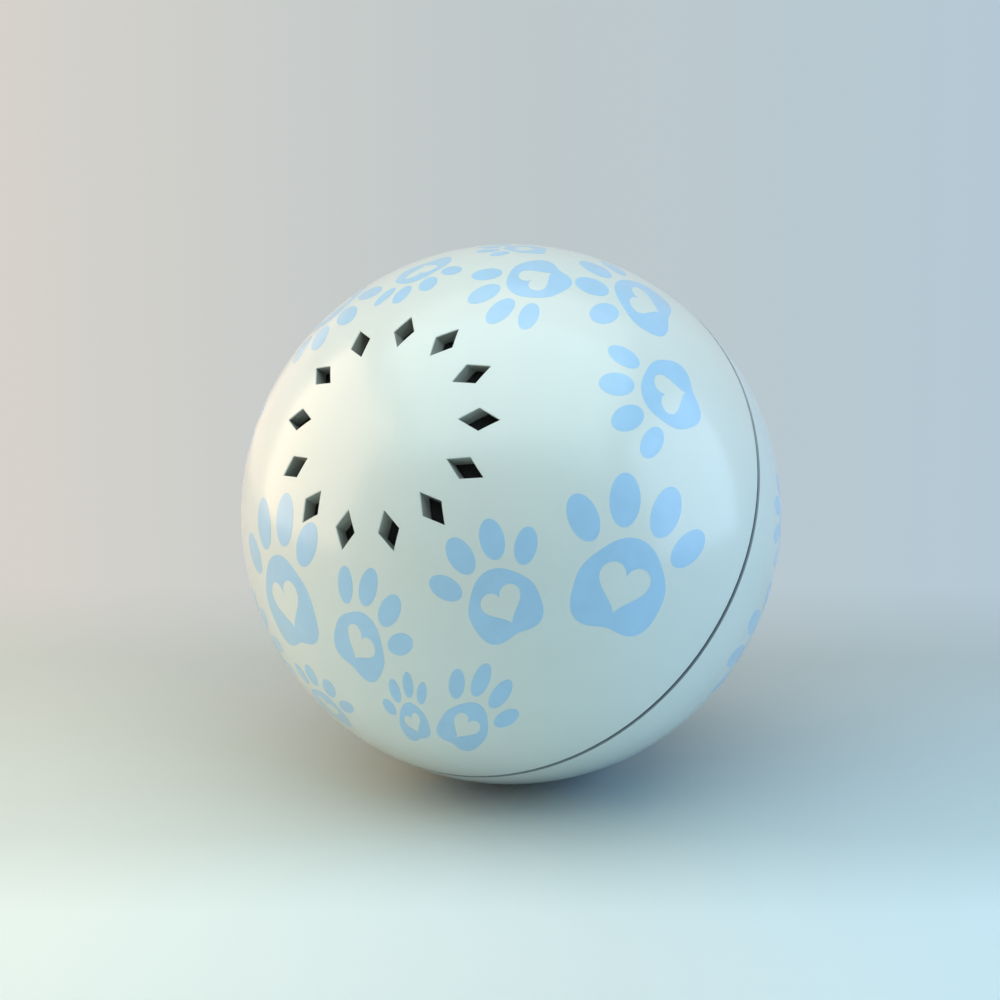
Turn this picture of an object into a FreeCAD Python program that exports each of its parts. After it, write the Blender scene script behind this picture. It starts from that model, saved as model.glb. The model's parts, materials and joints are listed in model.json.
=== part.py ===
import FreeCAD, Part
import math
import os

import Sketcher
from FreeCAD import Placement, Rotation, Vector

# The ball is drawn along its own axis, with +Z from the hub in the back pole to the vents in the front
# pole and the seam at Z = 0. Each sub-part's Placement then tilts that axis to where the ball lies.

doc = FreeCAD.newDocument("smart_pet_ball")
sheet = doc.addObject("Spreadsheet::Sheet", "Sizes")

# Driving sizes, in millimetres, degrees and counts
DRIVING = {
    # shells
    "ball_radius": 32.0,
    "shell_wall": 2.1,
    "seam_gap": 0.4,
    "seam_chamfer": 0.15,
    "axis_rise": 31.0,
    # vents and mesh
    "vent_count": 13,
    "vent_ring_radius": 11.78,
    "vent_length": 4.2,
    "vent_width": 2.62,
    "vent_first_angle": 14.8,
    "vent_edge": 0.15,
    "mesh_thickness": 0.35,
    "mesh_margin": 1.2,
    # twist lock between the shells
    "spigot_inset": 1.5,
    "spigot_wall": 1.2,
    "spigot_height": 4.6,
    "ledge_depth": 3.4,
    "ledge_thickness": 1.4,
    "ledge_step": 0.5,
    "lug_count": 4,
    "lug_angle": 24.0,
    "lug_reach": 0.85,
    "lug_height": 1.5,
    "claw_height": 1.6,
    "lock_clearance": 0.25,
    "lock_play": 0.2,
    "stop_angle": 3.0,
    "gasket_recess": 0.45,
    "gasket_play": 0.1,
    # gears
    "pressure_angle": 20.0,
    "backlash": 0.08,
    "ring_rim": 3.8,
    "ring_teeth": 56,
    "ring_width": 3.2,
    "pinion_teeth": 12,
    "wheel_module": 0.4,
    "wheel_teeth": 40,
    "wheel_width": 1.2,
    "motor_pinion_teeth": 10,
    "motor_pinion_width": 1.8,
    "gear_pin_radius": 0.75,
    "motor_offset": 12.0,
    # bearings
    "running_clearance": 0.05,
    "fit_clearance": 0.03,
    "axle_radius": 1.5,
    "bush_wall": 1.4,
    "bush_flange": 0.9,
    "boss_wall": 1.6,
    "boss_length": 6.3,
    "hub_lip": 1.55,
    "journal_wall": 1.35,
    "hub_bush_wall": 1.2,
    "collar_wall": 1.8,
    "collar_length": 4.8,
    # drive unit
    "core_clearance": 1.0,
    "core_wall": 1.4,
    "core_side_gap": 0.5,
    "core_side_wall": 2.0,
    "core_end_gap": 0.35,
    "cover_thickness": 1.4,
    "cover_gap": 0.6,
    "seal_width": 0.8,
    "seal_height": 0.65,
    "ear_reach": 2.2,
    "ear_thickness": 1.6,
    "dome_wall": 1.3,
    "dome_chamfer": 2.2,
    "dome_neck": 6.9,
    "axle_seat": 5.4,
    "dome_flat": 7.2,
    "running_gap": 0.3,
    # motor, weight and battery
    "motor_radius": 6.0,
    "motor_flat": 5.0,
    "motor_end_gap": 0.9,
    "motor_cap_length": 1.4,
    "motor_boss_radius": 1.5,
    "motor_boss_length": 0.8,
    "motor_shaft_radius": 0.5,
    "cradle_wall": 1.0,
    "cradle_height": 11.0,
    "fitting_gap": 0.3,
    "weight_top": 7.6,
    "weight_left": 14.9,
    "weight_right": 9.5,
    "weight_front": 7.4,
    "front_weight_inset": 2.4,
    "front_weight_length": 8.6,
    "weight_rise": 3.0,
    "weight_screw_inset": 4.0,
    "battery_width": 25.0,
    "battery_thickness": 8.0,
    "battery_low": 3.4,
    "battery_gap": 0.8,
    "battery_rounding": 1.2,
    "pad_thickness": 0.5,
    # electronics
    "board_thickness": 1.0,
    "board_post": 3.0,
    "board_gap": 0.4,
    "capacitor_radius": 1.6,
    "capacitor_height": 3.2,
    "capacitor_rise": 6.5,
    "chip_inset": 2.3,
    "speaker_gap": 0.3,
    "speaker_inner_gap": 1.0,
    "speaker_height": 2.6,
    "speaker_wall": 0.7,
    "magnet_radius": 3.2,
    "magnet_height": 1.0,
    # hub
    "hub_radius": 12.5,
    "hub_gap": 0.35,
    "hub_edge": 0.86,
    "hub_top_wall": 2.8,
    "hub_spigot_wall": 0.9,
    "seal_thickness": 0.5,
    "button_radius": 2.9,
    "button_drop": 2.6,
    "button_travel": 0.4,
    "light_ring_radius": 4.3,
    "port_rise": 5.0,
    "port_width": 8.94,
    "port_height": 3.16,
    "port_sink": 0.3,
    "port_wall": 0.3,
    "tongue_width": 6.7,
    "tongue_thickness": 0.7,
    "flap_width": 10.6,
    "flap_height": 4.6,
    "flap_thickness": 1.1,
    "flap_hinge_drop": 0.6,
    "flap_hinge_width": 6.0,
    "flap_barrel_radius": 0.5,
    "flap_pin_radius": 0.22,
    "hub_board_drop": 5.7,
    "switch_width": 4.5,
    "switch_height": 2.0,
    "plunger_radius": 1.0,
    # fasteners and leads
    "screw_radius": 0.7,
    "screw_head_radius": 1.3,
    "screw_head_height": 0.9,
    "screw_bite": 6.0,
    "gear_screw_bite": 4.0,
    "ring_screw_inset": 1.6,
    "ring_boss_depth": 3.0,
    "post_radius": 1.8,
    "post_gap": 0.2,
    "gear_post_side": 11.2,
    "gear_post_drop": 12.5,
    "lead_radius": 0.4,
    "cable_radius": 0.9,
    "slot_radius": 1.3,
}


class Size:
    """A size: its value, and the expression over the sheet's cells that gives it."""

    def __init__(self, value, text):
        self.value = float(value)
        self.text = text

    def __add__(self, other):
        other = size_of(other)
        return Size(self.value + other.value, f"({self.text} + {other.text})")

    def __radd__(self, other):
        return size_of(other) + self

    def __sub__(self, other):
        other = size_of(other)
        return Size(self.value - other.value, f"({self.text} - {other.text})")

    def __rsub__(self, other):
        return size_of(other) - self

    def __mul__(self, other):
        other = size_of(other)
        return Size(self.value * other.value, f"({self.text} * {other.text})")

    def __rmul__(self, other):
        return size_of(other) * self

    def __truediv__(self, other):
        other = size_of(other)
        return Size(self.value / other.value, f"({self.text} / {other.text})")

    def __neg__(self):
        return Size(-self.value, f"(-{self.text})")


def size_of(number):
    return number if isinstance(number, Size) else Size(number, f"({float(number)!r})")


def root(size):
    return Size(math.sqrt(size.value), f"sqrt({size.text})")


def sine(angle):
    return Size(math.sin(math.radians(angle.value)), f"sin({angle.text})")


def cosine(angle):
    return Size(math.cos(math.radians(angle.value)), f"cos({angle.text})")


def on_ball(radius, height):
    """How far from the axis a ball of that radius is at that height."""
    return root(size_of(radius) * radius - size_of(height) * height)


def fill_sheet(target, sizes):
    """Writes the driving sizes to the sheet and returns them as Size values by name."""
    named = {}
    for row, (name, number) in enumerate(sizes.items(), start=1):
        target.set(f"A{row}", name)
        target.set(f"B{row}", str(number))
        target.setAlias(f"B{row}", name)
        named[name] = Size(number, f"{target.Name}.{name}")
    doc.recompute()
    return named


class Named:
    """The driving sizes as attributes."""

    def __init__(self, named):
        self.__dict__.update(named)


s = Named(fill_sheet(sheet, DRIVING))
TILT = Placement(Vector(0, 0, 0), Rotation(Vector(1, 0, 0), 90 - s.axis_rise.value))
parts = []


def bind(thing, **properties):
    """Ties properties to the sheet; two underscores in a name stand for a dot."""
    for name, size in properties.items():
        thing.setExpression(name.replace("__", "."), size_of(size).text)
    return thing


def put(thing, x=0, y=0, z=0):
    return bind(thing, Placement__Base__x=x, Placement__Base__y=y, Placement__Base__z=z)


def cylinder(radius, low, high, x=0, y=0, angle=None, turn=None):
    """A round bar along the ball's axis, or a sector of one that starts at the angle turn."""
    thing = doc.addObject("Part::Cylinder", "cylinder")
    bind(thing, Radius=radius, Height=size_of(high) - low)
    if turn is not None:
        thing.Placement = Placement(Vector(0, 0, 0), Rotation(Vector(0, 0, 1), turn))
    put(thing, x, y, low)
    if angle is not None:
        bind(thing, Angle=angle)
    return thing


def crossbar(radius, reach, y, z):
    """A round bar along x, with reach on each side of the ball's axis."""
    thing = doc.addObject("Part::Cylinder", "crossbar")
    bind(thing, Radius=radius, Height=size_of(reach) * 2)
    thing.Placement = Placement(Vector(0, 0, 0), Rotation(Vector(0, 1, 0), 90))
    return put(thing, -size_of(reach), y, z)


def cone(low_radius, high_radius, low, high, x=0, y=0):
    thing = doc.addObject("Part::Cone", "cone")
    bind(thing, Radius1=low_radius, Radius2=high_radius, Height=size_of(high) - low)
    return put(thing, x, y, low)


def box(low, high):
    """A box between its lowest and highest corners."""
    thing = doc.addObject("Part::Box", "box")
    length, width, height = (size_of(b) - a for a, b in zip(low, high))
    bind(thing, Length=length, Width=width, Height=height)
    return put(thing, *low)


def ball(radius):
    thing = doc.addObject("Part::Sphere", "ball")
    return bind(thing, Radius=radius)


def joined(kind, shapes):
    thing = doc.addObject(kind, kind.split("::")[1].lower())
    thing.Shapes = shapes
    return thing


def fuse(*shapes):
    return joined("Part::MultiFuse", list(shapes)) if len(shapes) > 1 else shapes[0]


def common(*shapes):
    return joined("Part::MultiCommon", list(shapes))


def cut(base, *tools):
    thing = doc.addObject("Part::Cut", "cut")
    thing.Base = base
    thing.Tool = fuse(*tools)
    return thing


def group(shapes):
    thing = doc.addObject("Part::Compound", "group")
    thing.Links = list(shapes)
    return thing


def tube(inner, outer, low, high, x=0, y=0):
    margin = 1
    return cut(
        cylinder(outer, low, high, x, y),
        cylinder(inner, size_of(low) - margin, size_of(high) + margin, x, y),
    )


def sector(inner, outer, low, high, start, angle):
    """A piece of a ring about the ball's axis; start is in plain degrees."""
    margin = 1
    return cut(
        cylinder(outer, low, high, angle=angle, turn=start),
        cylinder(inner, size_of(low) - margin, size_of(high) + margin),
    )


def circle_places(count, radius, first):
    """Places evenly round the ball's axis, as x and y sizes; first is in plain degrees."""
    places = []
    for step in range(int(count)):
        angle = math.radians(first + 360 * step / count)
        places.append((radius * math.cos(angle), radius * math.sin(angle)))
    return places


def plane_of(body, role):
    return next(feature for feature in body.Origin.OriginFeatures if feature.Role == role)


def new_sketch(body, role, name):
    sketch = body.newObject("Sketcher::SketchObject", name)
    sketch.AttachmentSupport = [(plane_of(body, role), "")]
    sketch.MapMode = "FlatFace"
    return sketch


def fix(sketch, kind, name, size, *elements):
    """Adds a named dimension and ties it to the sheet."""
    size = size_of(size)
    index = sketch.addConstraint(Sketcher.Constraint(kind, *elements, size.value))
    sketch.renameConstraint(index, name)
    sketch.setExpression(f"Constraints.{name}", size.text)


def draw_outline(sketch, corners):
    """Draws a closed outline. A corner is (x, y), or (x, y, radius) where the edge to the next corner is an
    arc about the sketch's origin. A corner that ends an arc is held by one coordinate and the arc."""
    count = len(corners)
    points = [Vector(size_of(c[0]).value, size_of(c[1]).value, 0) for c in corners]
    edges = []
    for i in range(count):
        a, b = points[i], points[(i + 1) % count]
        if len(corners[i]) == 2:
            edges.append((sketch.addGeometry(Part.LineSegment(a, b), False), 1, 2))
            continue
        turn_a, turn_b = math.atan2(a.y, a.x), math.atan2(b.y, b.x)
        circle = Part.Circle(Vector(0, 0, 0), Vector(0, 0, 1), size_of(corners[i][2]).value)
        arc = Part.ArcOfCircle(circle, min(turn_a, turn_b), max(turn_a, turn_b))
        first, last = (1, 2) if turn_a < turn_b else (2, 1)
        edges.append((sketch.addGeometry(arc, False), first, last))
    for i in range(count):
        edge, _, last = edges[i]
        other, first, _ = edges[(i + 1) % count]
        sketch.addConstraint(Sketcher.Constraint("Coincident", edge, last, other, first))
    for i in range(count):
        edge, first, _ = edges[i]
        leaves_arc = len(corners[i]) == 3
        ends_arc = len(corners[i - 1]) == 3
        if leaves_arc:
            sketch.addConstraint(Sketcher.Constraint("Coincident", edge, 3, -1, 1))
            fix(sketch, "Radius", f"arc{i}", corners[i][2], edge)
        if not (leaves_arc or ends_arc):
            fix(sketch, "DistanceX", f"across{i}", corners[i][0], -1, 1, edge, first)
            fix(sketch, "DistanceY", f"up{i}", corners[i][1], -1, 1, edge, first)
        elif abs(points[i].x) < abs(points[i].y):
            fix(sketch, "DistanceX", f"across{i}", corners[i][0], -1, 1, edge, first)
        else:
            fix(sketch, "DistanceY", f"up{i}", corners[i][1], -1, 1, edge, first)


def turned(name, corners):
    """A body turned about the ball's axis from its outline in x and z."""
    body = doc.addObject("PartDesign::Body", f"{name}_body")
    sketch = new_sketch(body, "XZ_Plane", f"{name}_profile")
    draw_outline(sketch, corners)
    turn = body.newObject("PartDesign::Revolution", f"{name}_turn")
    turn.Profile = (sketch, [""])
    turn.ReferenceAxis = (sketch, ["V_Axis"])
    turn.Angle = 360
    doc.recompute()
    return body


def padded(name, corners, low, high):
    """A body raised along the ball's axis from its outline in x and y."""
    body = doc.addObject("PartDesign::Body", f"{name}_body")
    sketch = new_sketch(body, "XY_Plane", f"{name}_outline")
    draw_outline(sketch, corners)
    sketch.setExpression("AttachmentOffset.Base.z", size_of(low).text)
    pad = body.newObject("PartDesign::Pad", f"{name}_pad")
    pad.Profile = (sketch, [""])
    bind(pad, Length=size_of(high) - low)
    doc.recompute()
    return body


def keep(label, thing):
    """Names a finished sub-part and tilts it to where the ball lies. One whose own Placement is tied to the
    sheet is put in a group first, so that the tilt is added to that place."""
    if any("Placement" in path for path, _ in thing.ExpressionEngine):
        thing = group([thing])
    thing.Label = label
    thing.Placement = TILT.multiply(thing.Placement)
    parts.append(thing)
    return thing


def keep_shape(label, shape):
    """A sub-part whose shape is worked out from a formula."""
    thing = doc.addObject("Part::Feature", label)
    thing.Shape = shape
    return keep(label, thing)


def screw(seat, length, x, y, front=True):
    """A pan head screw with a cross recess; seat is the face under its head."""
    way = 1 if front else -1
    levels = sorted((seat, seat + s.screw_head_height * way), key=lambda size: size.value)
    head = cylinder(s.screw_head_radius, levels[0], levels[1], x, y)
    levels = sorted((seat, seat - size_of(length) * way), key=lambda size: size.value)
    shank = cylinder(s.screw_radius, levels[0], levels[1], x, y)
    top = seat + s.screw_head_height * way
    depth = s.screw_head_height * 0.5
    levels = sorted((top - depth * way, top + depth * way), key=lambda size: size.value)
    long, thin = s.screw_head_radius * 0.7, s.screw_head_radius * 0.15
    slots = [
        box((x - a, y - b, levels[0]), (x + a, y + b, levels[1])) for a, b in ((long, thin), (thin, long))
    ]
    return cut(fuse(head, shank), *slots)


def hole(radius, low, high, x=0, y=0):
    return cylinder(radius, low, high, x, y)


# Levels and radii that follow from the driving sizes
inner_radius = s.ball_radius - s.shell_wall
half_seam = s.seam_gap / 2
pilot = s.screw_radius + s.fit_clearance
screw_hole = s.screw_radius + 0.15
through = 1.0
tooth_foot = 1.25

axle_bore = s.axle_radius + s.fit_clearance
front_bush_radius = axle_bore + s.bush_wall
boss_bore = front_bush_radius + s.fit_clearance
boss_radius = boss_bore + s.boss_wall
boss_top = inner_radius - 0.9
boss_end = inner_radius - s.boss_length

spigot_radius = inner_radius - s.spigot_inset
spigot_inner = spigot_radius - s.spigot_wall
lug_radius = spigot_radius + s.lug_reach
lug_low = s.spigot_height - s.lug_height
claw_high = lug_low - s.lock_play
claw_low = claw_high - s.claw_height
claw_inner = spigot_radius + s.lock_clearance
claw_outer = inner_radius + s.shell_wall * 0.2

journal_radius = s.hub_radius - s.hub_lip
hub_bush_bore = journal_radius + s.running_clearance
hub_bush_radius = hub_bush_bore + s.hub_bush_wall
collar_bore = hub_bush_radius + s.fit_clearance
collar_radius = collar_bore + s.collar_wall
opening_radius = s.hub_radius + s.hub_gap
hub_under = on_ball(s.ball_radius, s.hub_radius) - s.hub_edge
seal_low = hub_under - s.running_clearance
seal_high = seal_low - s.seal_thickness
collar_low = seal_high - 0.1
collar_high = collar_low - s.collar_length

ring_low = -s.ledge_depth
ring_high = ring_low + s.ring_width
ring_root = spigot_inner - s.ring_rim
ring_module = ring_root / (s.ring_teeth / 2 + tooth_foot)
ring_radius = ring_module * s.ring_teeth / 2
ring_screw_circle = spigot_inner - s.ring_screw_inset
pinion_radius = ring_module * s.pinion_teeth / 2
idler_drop = ring_radius - pinion_radius
wheel_radius = s.wheel_module * s.wheel_teeth / 2
motor_pinion_radius = s.wheel_module * s.motor_pinion_teeth / 2
train_reach = wheel_radius + motor_pinion_radius

cover_high = ring_low - s.cover_gap
cover_low = cover_high - s.cover_thickness
ledge_radius = ring_root + s.ledge_step
core_radius = ledge_radius - s.core_side_gap
core_inner_radius = core_radius - s.core_side_wall
core_ball = inner_radius - s.core_clearance
core_inner_ball = core_ball - s.core_wall
core_depth = collar_high - s.core_end_gap
core_floor = -(core_depth - s.core_wall)
journal_inner = journal_radius - s.journal_wall
hub_inside = s.ball_radius - s.hub_top_wall
hub_board_depth = hub_inside - s.hub_board_drop
seal_inner = core_inner_radius + (s.core_side_wall - s.seal_width) / 2
screw_circle = seal_inner - s.post_gap - s.post_radius

bush_end = boss_end - s.bush_flange
dome_boss_radius = s.axle_radius + 1.7
dome_boss_high = bush_end - s.running_gap
dome_front = dome_boss_high - s.dome_neck
dome_radius = screw_circle - s.ear_reach
dome_inner = dome_radius - s.dome_wall
board_radius = dome_inner - s.board_gap
speaker_radius = (dome_inner - s.speaker_gap - dome_boss_radius - s.speaker_inner_gap) / 2
speaker_rise = dome_inner - s.speaker_gap - speaker_radius

# The motor sits where its pinion meets the wheel, on a circle round the ball's axis
motor_cos = (idler_drop * idler_drop + s.motor_offset * s.motor_offset - train_reach * train_reach) / (
    2 * idler_drop * s.motor_offset
)
motor_sin = root(1 - motor_cos * motor_cos)
motor_x = s.motor_offset * motor_sin
motor_y = -s.motor_offset * motor_cos
wheel_low = ring_high + s.screw_head_height + s.running_gap + 0.1
wheel_high = wheel_low + s.wheel_width


def involute(angle):
    return math.tan(angle) - angle


def gear_wire(module, teeth, tip, foot, thicken, first_tooth):
    """The closed outline of a gear about the origin. tip and foot are the teeth's reach outside and inside
    the pitch circle, thicken widens each tooth at that circle, first_tooth is a tooth's middle in degrees."""
    pitch = module * teeth / 2
    press = math.radians(s.pressure_angle.value)
    base = pitch * math.cos(press)
    tip_radius, foot_radius = pitch + tip, pitch - foot
    half_pitch_tooth = math.pi / (2 * teeth) + thicken / (2 * pitch)
    steps = 6

    def half_width(radius):
        slope = math.acos(min(1.0, base / radius))
        return half_pitch_tooth + involute(press) - involute(slope)

    def at(radius, angle):
        return Vector(radius * math.cos(angle), radius * math.sin(angle), 0)

    start = max(base, foot_radius)
    radii = [start + (tip_radius - start) * i / steps for i in range(steps + 1)]
    edges = []
    for tooth in range(teeth):
        middle = math.radians(first_tooth) + 2 * math.pi * tooth / teeth
        rise = [at(r, middle - half_width(r)) for r in radii]
        fall = [at(r, middle + half_width(r)) for r in reversed(radii)]
        foot_a = at(foot_radius, middle - half_width(start))
        foot_b = at(foot_radius, middle + half_width(start))
        next_foot = at(foot_radius, middle + 2 * math.pi / teeth - half_width(start))
        valley = at(foot_radius, middle + math.pi / teeth)
        if start > foot_radius:
            edges.append(Part.LineSegment(foot_a, rise[0]).toShape())
        flank = Part.BSplineCurve()
        flank.interpolate(rise)
        edges.append(flank.toShape())
        edges.append(Part.Arc(rise[-1], at(tip_radius, middle), fall[0]).toShape())
        flank = Part.BSplineCurve()
        flank.interpolate(fall)
        edges.append(flank.toShape())
        if start > foot_radius:
            edges.append(Part.LineSegment(fall[-1], foot_b).toShape())
        edges.append(Part.Arc(foot_b, valley, next_foot).toShape())
    return Part.Wire(edges)


def flat_ring(*wires):
    """The face between an outer wire and the one inside it."""
    return Part.makeFace(list(wires), "Part::FaceMakerBullseye")


def gear_solid(wire, low, high, x, y, bore):
    """A gear raised between two levels, with a round bore."""
    round_bore = Part.Wire(Part.Circle(Vector(0, 0, 0), Vector(0, 0, 1), bore).toShape())
    solid = flat_ring(wire, round_bore).extrude(Vector(0, 0, high - low))
    solid.translate(Vector(x, y, low))
    return solid


# Front half

front_outline = [
    (on_ball(s.ball_radius, half_seam + s.seam_chamfer), half_seam + s.seam_chamfer, s.ball_radius),
    (0, s.ball_radius),
    (0, boss_top),
    (boss_bore, boss_top),
    (boss_bore, boss_end),
    (boss_radius, boss_end),
    (boss_radius, on_ball(inner_radius, boss_radius), inner_radius),
    (on_ball(inner_radius, half_seam), half_seam),
    (s.ball_radius - s.seam_chamfer, half_seam),
]


def vent_rim(shape):
    """The numbers of the edges where the vents meet the ball's outside."""
    far = (s.vent_ring_radius + s.vent_length).value
    found = []
    for number, edge in enumerate(shape.Edges, start=1):
        middle = edge.valueAt((edge.FirstParameter + edge.LastParameter) / 2)
        points = [middle] + [vertex.Point for vertex in edge.Vertexes]
        on_outside = all(abs(point.Length - s.ball_radius.value) < 0.001 for point in points)
        near_pole = all(math.hypot(point.x, point.y) < far for point in points)
        if on_outside and near_pole and not edge.Degenerated:
            found.append(number)
    return found


def make_front_shell():
    body = turned("front_shell", front_outline)
    vent = new_sketch(body, "XY_Plane", "vent_outline")
    half_long, half_wide = s.vent_length / 2, s.vent_width / 2
    turn = s.vent_first_angle
    corners = []
    for out, side in ((-1, 0), (0, -1), (1, 0), (0, 1)):
        far = s.vent_ring_radius + out * half_long
        aside = side * half_wide
        corners.append((far * cosine(turn) - aside * sine(turn), far * sine(turn) + aside * cosine(turn)))
    draw_outline(vent, corners)
    pocket = body.newObject("PartDesign::Pocket", "vent")
    pocket.Profile = (vent, [""])
    pocket.Type = "ThroughAll"
    pocket.Reversed = True
    doc.recompute()
    vents = body.newObject("PartDesign::PolarPattern", "vents")
    vents.Originals = [pocket]
    vents.Axis = (vent, ["N_Axis"])
    vents.Angle = 360
    bind(vents, Occurrences=s.vent_count)
    body.Tip = vents
    doc.recompute()
    softened = doc.addObject("Part::Fillet", "vent_edges")
    softened.Base = body
    radius = s.vent_edge.value
    softened.Edges = [(number, radius, radius) for number in vent_rim(body.Shape)]
    doc.recompute()
    claws = []
    for step in range(int(s.lug_count.value)):
        middle = 360 * (step + 0.5) / s.lug_count.value
        start = middle - s.lug_angle.value / 2
        claws.append(sector(claw_inner, claw_outer, claw_low, claw_high, start, s.lug_angle))
        start = middle + s.lug_angle.value / 2 + 0.5
        claws.append(sector(claw_inner, claw_outer, claw_low, s.spigot_height, start, s.stop_angle))
    return keep("front_shell", fuse(softened, *claws))


make_front_shell()

# The mesh is a dished ring just inside the wall, a little wider than the vents
mesh_outer_ball = inner_radius - s.fit_clearance
mesh_inner_ball = mesh_outer_ball - s.mesh_thickness
mesh_near = s.vent_ring_radius - s.vent_length / 2 - s.mesh_margin
mesh_far = s.vent_ring_radius + s.vent_length / 2 + s.mesh_margin
keep("vent_mesh", turned("vent_mesh", [
    (mesh_near, on_ball(mesh_inner_ball, mesh_near)),
    (mesh_near, on_ball(mesh_outer_ball, mesh_near), mesh_outer_ball),
    (mesh_far, on_ball(mesh_outer_ball, mesh_far)),
    (mesh_far, on_ball(mesh_inner_ball, mesh_far), mesh_inner_ball),
]))

keep("front_bush", turned("front_bush", [
    (axle_bore, bush_end),
    (boss_bore + s.bush_flange, bush_end),
    (boss_bore + s.bush_flange, boss_end),
    (front_bush_radius, boss_end),
    (front_bush_radius, boss_top - 0.1),
    (axle_bore, boss_top - 0.1),
]))

# Rear half

rear_outline = [
    (opening_radius, -on_ball(s.ball_radius, opening_radius), s.ball_radius),
    (on_ball(s.ball_radius, half_seam + s.seam_chamfer), -half_seam - s.seam_chamfer),
    (s.ball_radius - s.seam_chamfer, -half_seam),
    (spigot_radius, -half_seam),
    (spigot_radius, s.spigot_height),
    (spigot_inner, s.spigot_height),
    (spigot_inner, ring_low),
    (ledge_radius, ring_low),
    (ledge_radius, ring_low - s.ledge_thickness),
    (on_ball(inner_radius, ring_low - s.ledge_thickness), ring_low - s.ledge_thickness, inner_radius),
    (collar_radius, -on_ball(inner_radius, collar_radius)),
    (collar_radius, -collar_high),
    (collar_bore, -collar_high),
    (collar_bore, -collar_low),
    (opening_radius, -collar_low),
]


def make_rear_shell():
    body = turned("rear_shell", rear_outline)
    additions = []
    for step in range(int(s.lug_count.value)):
        start = 360 * (step + 0.5) / s.lug_count.value - s.lug_angle.value / 2
        root_radius = spigot_radius - s.spigot_wall / 2
        additions.append(sector(root_radius, lug_radius, lug_low, s.spigot_height, start, s.lug_angle))
    boss_low = ring_low - s.ledge_thickness - s.ring_boss_depth
    holes = []
    for x, y in circle_places(4, ring_screw_circle, 45):
        additions.append(cylinder(s.ring_screw_inset, boss_low, ring_low - s.ledge_thickness / 2, x, y))
        holes.append(hole(pilot, boss_low + pilot, ring_low + through, x, y))
    return keep("rear_shell", cut(fuse(body, *additions), *holes))


make_rear_shell()

keep("seam_gasket", turned("seam_gasket", [
    (spigot_radius + s.fit_clearance, -half_seam),
    (s.ball_radius - s.gasket_recess, -half_seam),
    (s.ball_radius - s.gasket_recess, half_seam - s.gasket_play),
    (spigot_radius + s.fit_clearance, half_seam - s.gasket_play),
]))


def make_ring_gear():
    """The ring's spaces have the shape of an outside gear's teeth, so its bore is such a gear."""
    bore = gear_wire(
        ring_module.value,
        int(s.ring_teeth.value),
        tooth_foot * ring_module.value,
        0.6 * ring_module.value,
        s.backlash.value / 2,
        -90,
    )
    rim = Part.Circle(Vector(0, 0, 0), Vector(0, 0, 1), (spigot_inner - s.running_clearance).value)
    solid = flat_ring(Part.Wire(rim.toShape()), bore).extrude(Vector(0, 0, s.ring_width.value))
    solid.translate(Vector(0, 0, ring_low.value))
    for x, y in circle_places(4, ring_screw_circle, 45):
        drill = Part.makeCylinder(
            screw_hole.value, s.ring_width.value + 2, Vector(x.value, y.value, ring_low.value - 1)
        )
        solid = solid.cut(drill)
    return keep_shape("ring_gear", solid)


make_ring_gear()
keep("ring_gear_screws", group(
    screw(ring_high, s.ring_width + s.ledge_thickness + s.ring_boss_depth - s.post_radius / 2, x, y)
    for x, y in circle_places(4, ring_screw_circle, 45)
))
keep("hub_bush", tube(hub_bush_bore, hub_bush_radius, -collar_low, -collar_high))
keep("hub_seal", tube(
    journal_radius + s.fit_clearance, s.hub_radius - 0.1, -seal_low, -seal_high
))

# Drive unit: base, cover and dome

top_angles = (30, 90, 150)
side_angles = (-15, 195)


def place_at(radius, degrees):
    angle = math.radians(degrees)
    return radius * math.cos(angle), radius * math.sin(angle)


top_places = [place_at(screw_circle, angle) for angle in top_angles]
side_places = [place_at(screw_circle, angle) for angle in side_angles]
groove_floor = cover_low - s.seal_height - s.fit_clearance
cradle_room = s.fitting_gap
weight_screws = [place_at(core_inner_radius - s.weight_screw_inset, angle) for angle in (222.6, 253.6)]

base_outline = [
    (journal_inner, -hub_under),
    (journal_radius, -hub_under),
    (journal_radius, -core_depth),
    (on_ball(core_ball, core_depth), -core_depth, core_ball),
    (core_radius, -on_ball(core_ball, core_radius)),
    (core_radius, cover_low),
    (seal_inner + s.seal_width + s.fit_clearance, cover_low),
    (seal_inner + s.seal_width + s.fit_clearance, groove_floor),
    (seal_inner - s.fit_clearance, groove_floor),
    (seal_inner - s.fit_clearance, cover_low),
    (core_inner_radius, cover_low),
    (core_inner_radius, -on_ball(core_inner_ball, core_inner_radius), core_inner_ball),
    (on_ball(core_inner_ball, -core_floor), core_floor),
    (journal_inner, core_floor),
]

motor_front = cover_low - 0.2
motor_end = core_floor + s.motor_end_gap
motor_back = motor_end + s.motor_cap_length


def motor_box(grow, low, high):
    wide, tall = s.motor_radius + grow, s.motor_flat + grow
    return box((motor_x - wide, motor_y - tall, low), (motor_x + wide, motor_y + tall, high))


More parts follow.
